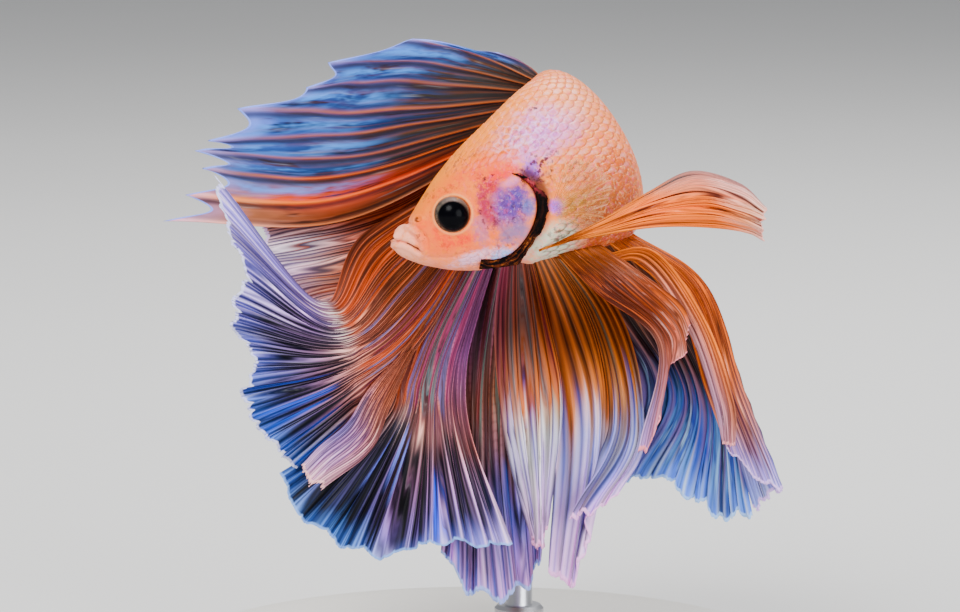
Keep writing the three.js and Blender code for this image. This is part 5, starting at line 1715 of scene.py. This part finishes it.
# ------------------------------------------------------------------------------------------- stand
@dataclass(frozen=True)
class Stand:
    """A round satin base with one steel rod up to the tail stem."""

    sides: int = 160
    round_edge: float = 0.8
    collar: float = 2.2
    collar_height: float = 1.2
    cup: float = 1.9
    cup_height: float = 2.2

    def build(self) -> None:
        """Make and dress the base and the rod."""
        low, high = (np.array(corner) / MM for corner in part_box("stand_base"))
        radius, top = (high[0] - low[0]) / 2, high[2]
        turn = np.linspace(0, math.pi / 2, 9)
        r = self.round_edge
        bevel = [(radius - r + r * math.cos(a), top - r + r * math.sin(a)) for a in turn]
        r = self.round_edge / 2
        foot = [(radius - r + r * math.sin(a), r - r * math.cos(a)) for a in turn]
        rings = [(radius * f, 0.0) for f in (0.02, 0.5, 0.9)] + foot + bevel
        rings += [(radius * f, top) for f in (0.9, 0.6, 0.3, 0.02)]
        middle = (low + high) / 2
        ride(self.turned("stand_disc", rings, middle), self.acrylic(), "stand_base", "stand_base")
        low_rod, high_rod = (np.array(corner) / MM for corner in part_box("stand_rod"))
        middle = (low_rod + high_rod) / 2
        thick, end = (high_rod[0] - low_rod[0]) / 2, high_rod[2]
        collar, ledge, stem = self.collar, top + self.collar_height, end - self.cup_height
        rings = [(0.05, top - 0.5), (collar, top - 0.5), (collar, ledge - 0.3),
                 (collar - 0.3, ledge), (thick + 0.05, ledge), (thick, ledge + 0.1),
                 (thick, stem - 0.6), (thick + 0.1, stem), (self.cup, end - 0.4),
                 (self.cup, end), (self.cup - 0.25, end + 0.1), (0.05, end - 0.3)]
        ride(self.turned("stand_post", rings, middle), self.steel(), "stand_rod", "stand_rod")

    def turned(self, name: str, rings: list[tuple[float, float]],
               middle: np.ndarray) -> bpy.types.Object:
        """A closed piece turned from rings of radius and height, in row millimetres."""
        angle = np.arange(self.sides) * (2 * math.pi / self.sides)
        points = [(middle[0] + r * math.cos(a), middle[1] + r * math.sin(a), z)
                  for r, z in rings for a in angle]
        faces = []
        for i in range(len(rings) - 1):
            for j in range(self.sides):
                k = (j + 1) % self.sides
                faces.append([i * self.sides + j, i * self.sides + k,
                              (i + 1) * self.sides + k, (i + 1) * self.sides + j])
        faces.append(list(range(self.sides))[::-1])
        faces.append(list(range((len(rings) - 1) * self.sides, len(rings) * self.sides)))
        mesh = bpy.data.meshes.new(name)
        mesh.from_pydata([tuple(c * MM for c in p) for p in points], [], faces)
        mesh.polygons.foreach_set("use_smooth", [len(f) == 4 for f in faces])
        mesh.set_sharp_from_angle(angle=40 * DEG)
        piece = bpy.data.objects.new(name, mesh)
        bpy.context.scene.collection.objects.link(piece)
        return piece

    def acrylic(self) -> bpy.types.Material:
        """Warm white satin acrylic."""
        paint = Paint("satin acrylic")
        grain = paint.noise(paint.place(), 1.5, 3.0)
        colour = paint.mix(shade("#e4e1da"), shade("#dedad2"), grain)
        return paint.finish(Base_Color=colour, Roughness=0.32 + grain * 0.08, Coat_Weight=0.2,
                            Coat_Roughness=0.2)

    def steel(self) -> bpy.types.Material:
        """Brushed steel."""
        paint = Paint("brushed steel")
        spot = {0: paint.place(), 1: (6, 6, 0.4)}
        at = paint.node("ShaderNodeVectorMath", {"operation": "MULTIPLY"}, spot)
        grain = paint.noise(at, 2.0, 3.0)
        return paint.finish(Base_Color=shade("#c4c4c8"), Metallic=1.0, Roughness=0.25 + grain * 0.2,
                            Normal=paint.height(grain, 0.01, 0.5))


# ------------------------------------------------------------------------------------------ studio
@dataclass(frozen=True)
class Lamp:
    """A soft round light aimed at the middle of the fish."""

    name: str
    place: Point
    size: float
    power: float
    colour: tuple[float, float, float] = (1.0, 1.0, 1.0)


@dataclass(frozen=True)
class Studio:
    """Pale floor, soft lights and the camera."""

    floor_size: float = 3.0
    eye_distance: float = 400.0
    lens: float = 176.47
    lamps: tuple[Lamp, ...] = (
        Lamp("key light", (-0.22, -0.38, 0.42), 0.28, 4.5),
        Lamp("fill light", (0.34, -0.46, 0.16), 0.4, 3.2, (0.94, 0.96, 1.0)),
        Lamp("rim light", (0.12, 0.22, 0.44), 0.25, 3.0),
    )

    def build(self) -> None:
        """Make the floor, the lights, the surroundings and the camera."""
        self.floor()
        target = Vector(to_row(np.zeros(3)).tolist())
        for lamp in self.lamps:
            light = bpy.data.lights.new(lamp.name, "AREA")
            light.shape = "DISK"
            light.size = lamp.size
            light.energy = lamp.power
            light.color = lamp.colour
            piece = bpy.data.objects.new(lamp.name, light)
            piece.location = lamp.place
            piece.rotation_euler = (target - piece.location).to_track_quat("-Z", "Y").to_euler()
            bpy.context.scene.collection.objects.link(piece)
        world = bpy.data.worlds.new("studio")
        world.use_nodes = True
        backdrop = world.node_tree.nodes["Background"]
        backdrop.inputs["Color"].default_value = (0.86, 0.88, 0.92, 1.0)
        backdrop.inputs["Strength"].default_value = 0.45
        bpy.context.scene.world = world
        camera = bpy.data.cameras.new("camera")
        camera.lens = self.lens
        camera.sensor_width = 36.0
        camera.clip_start = 0.01
        piece = bpy.data.objects.new("camera", camera)
        piece.location = to_row(np.array([0.0, -self.eye_distance, 0.0])).tolist()
        piece.rotation_euler = (math.pi / 2 - LEAN, 0.0, 0.0)
        bpy.context.scene.collection.objects.link(piece)
        bpy.context.scene.camera = piece

    def floor(self) -> None:
        """A wide plain pale floor."""
        half = self.floor_size / 2
        mesh = bpy.data.meshes.new("floor")
        corners = [(-half, -half, 0), (half, -half, 0), (half, half, 0), (-half, half, 0)]
        mesh.from_pydata(corners, [], [(0, 1, 2, 3)])
        piece = bpy.data.objects.new("floor", mesh)
        bpy.context.scene.collection.objects.link(piece)
        paint = Paint("pale floor")
        grain = paint.noise(paint.place(), 0.01, 2.0)
        colour = paint.mix(shade("#d9d8d6"), shade("#d5d4d2"), grain)
        mesh.materials.append(paint.finish(Base_Color=colour, Roughness=0.7))


def main() -> None:
    """Build the fish on its stand, then the studio round it."""
    logging.basicConfig(level=logging.INFO, format="%(name)s: %(message)s")
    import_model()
    for part in (Body(), Eyes(), GillFlaps(), Fins(), Stand()):
        log.info("building %s", type(part).__name__)
        part.build()
    Studio().build()


if __name__ == "__main__":
    main()
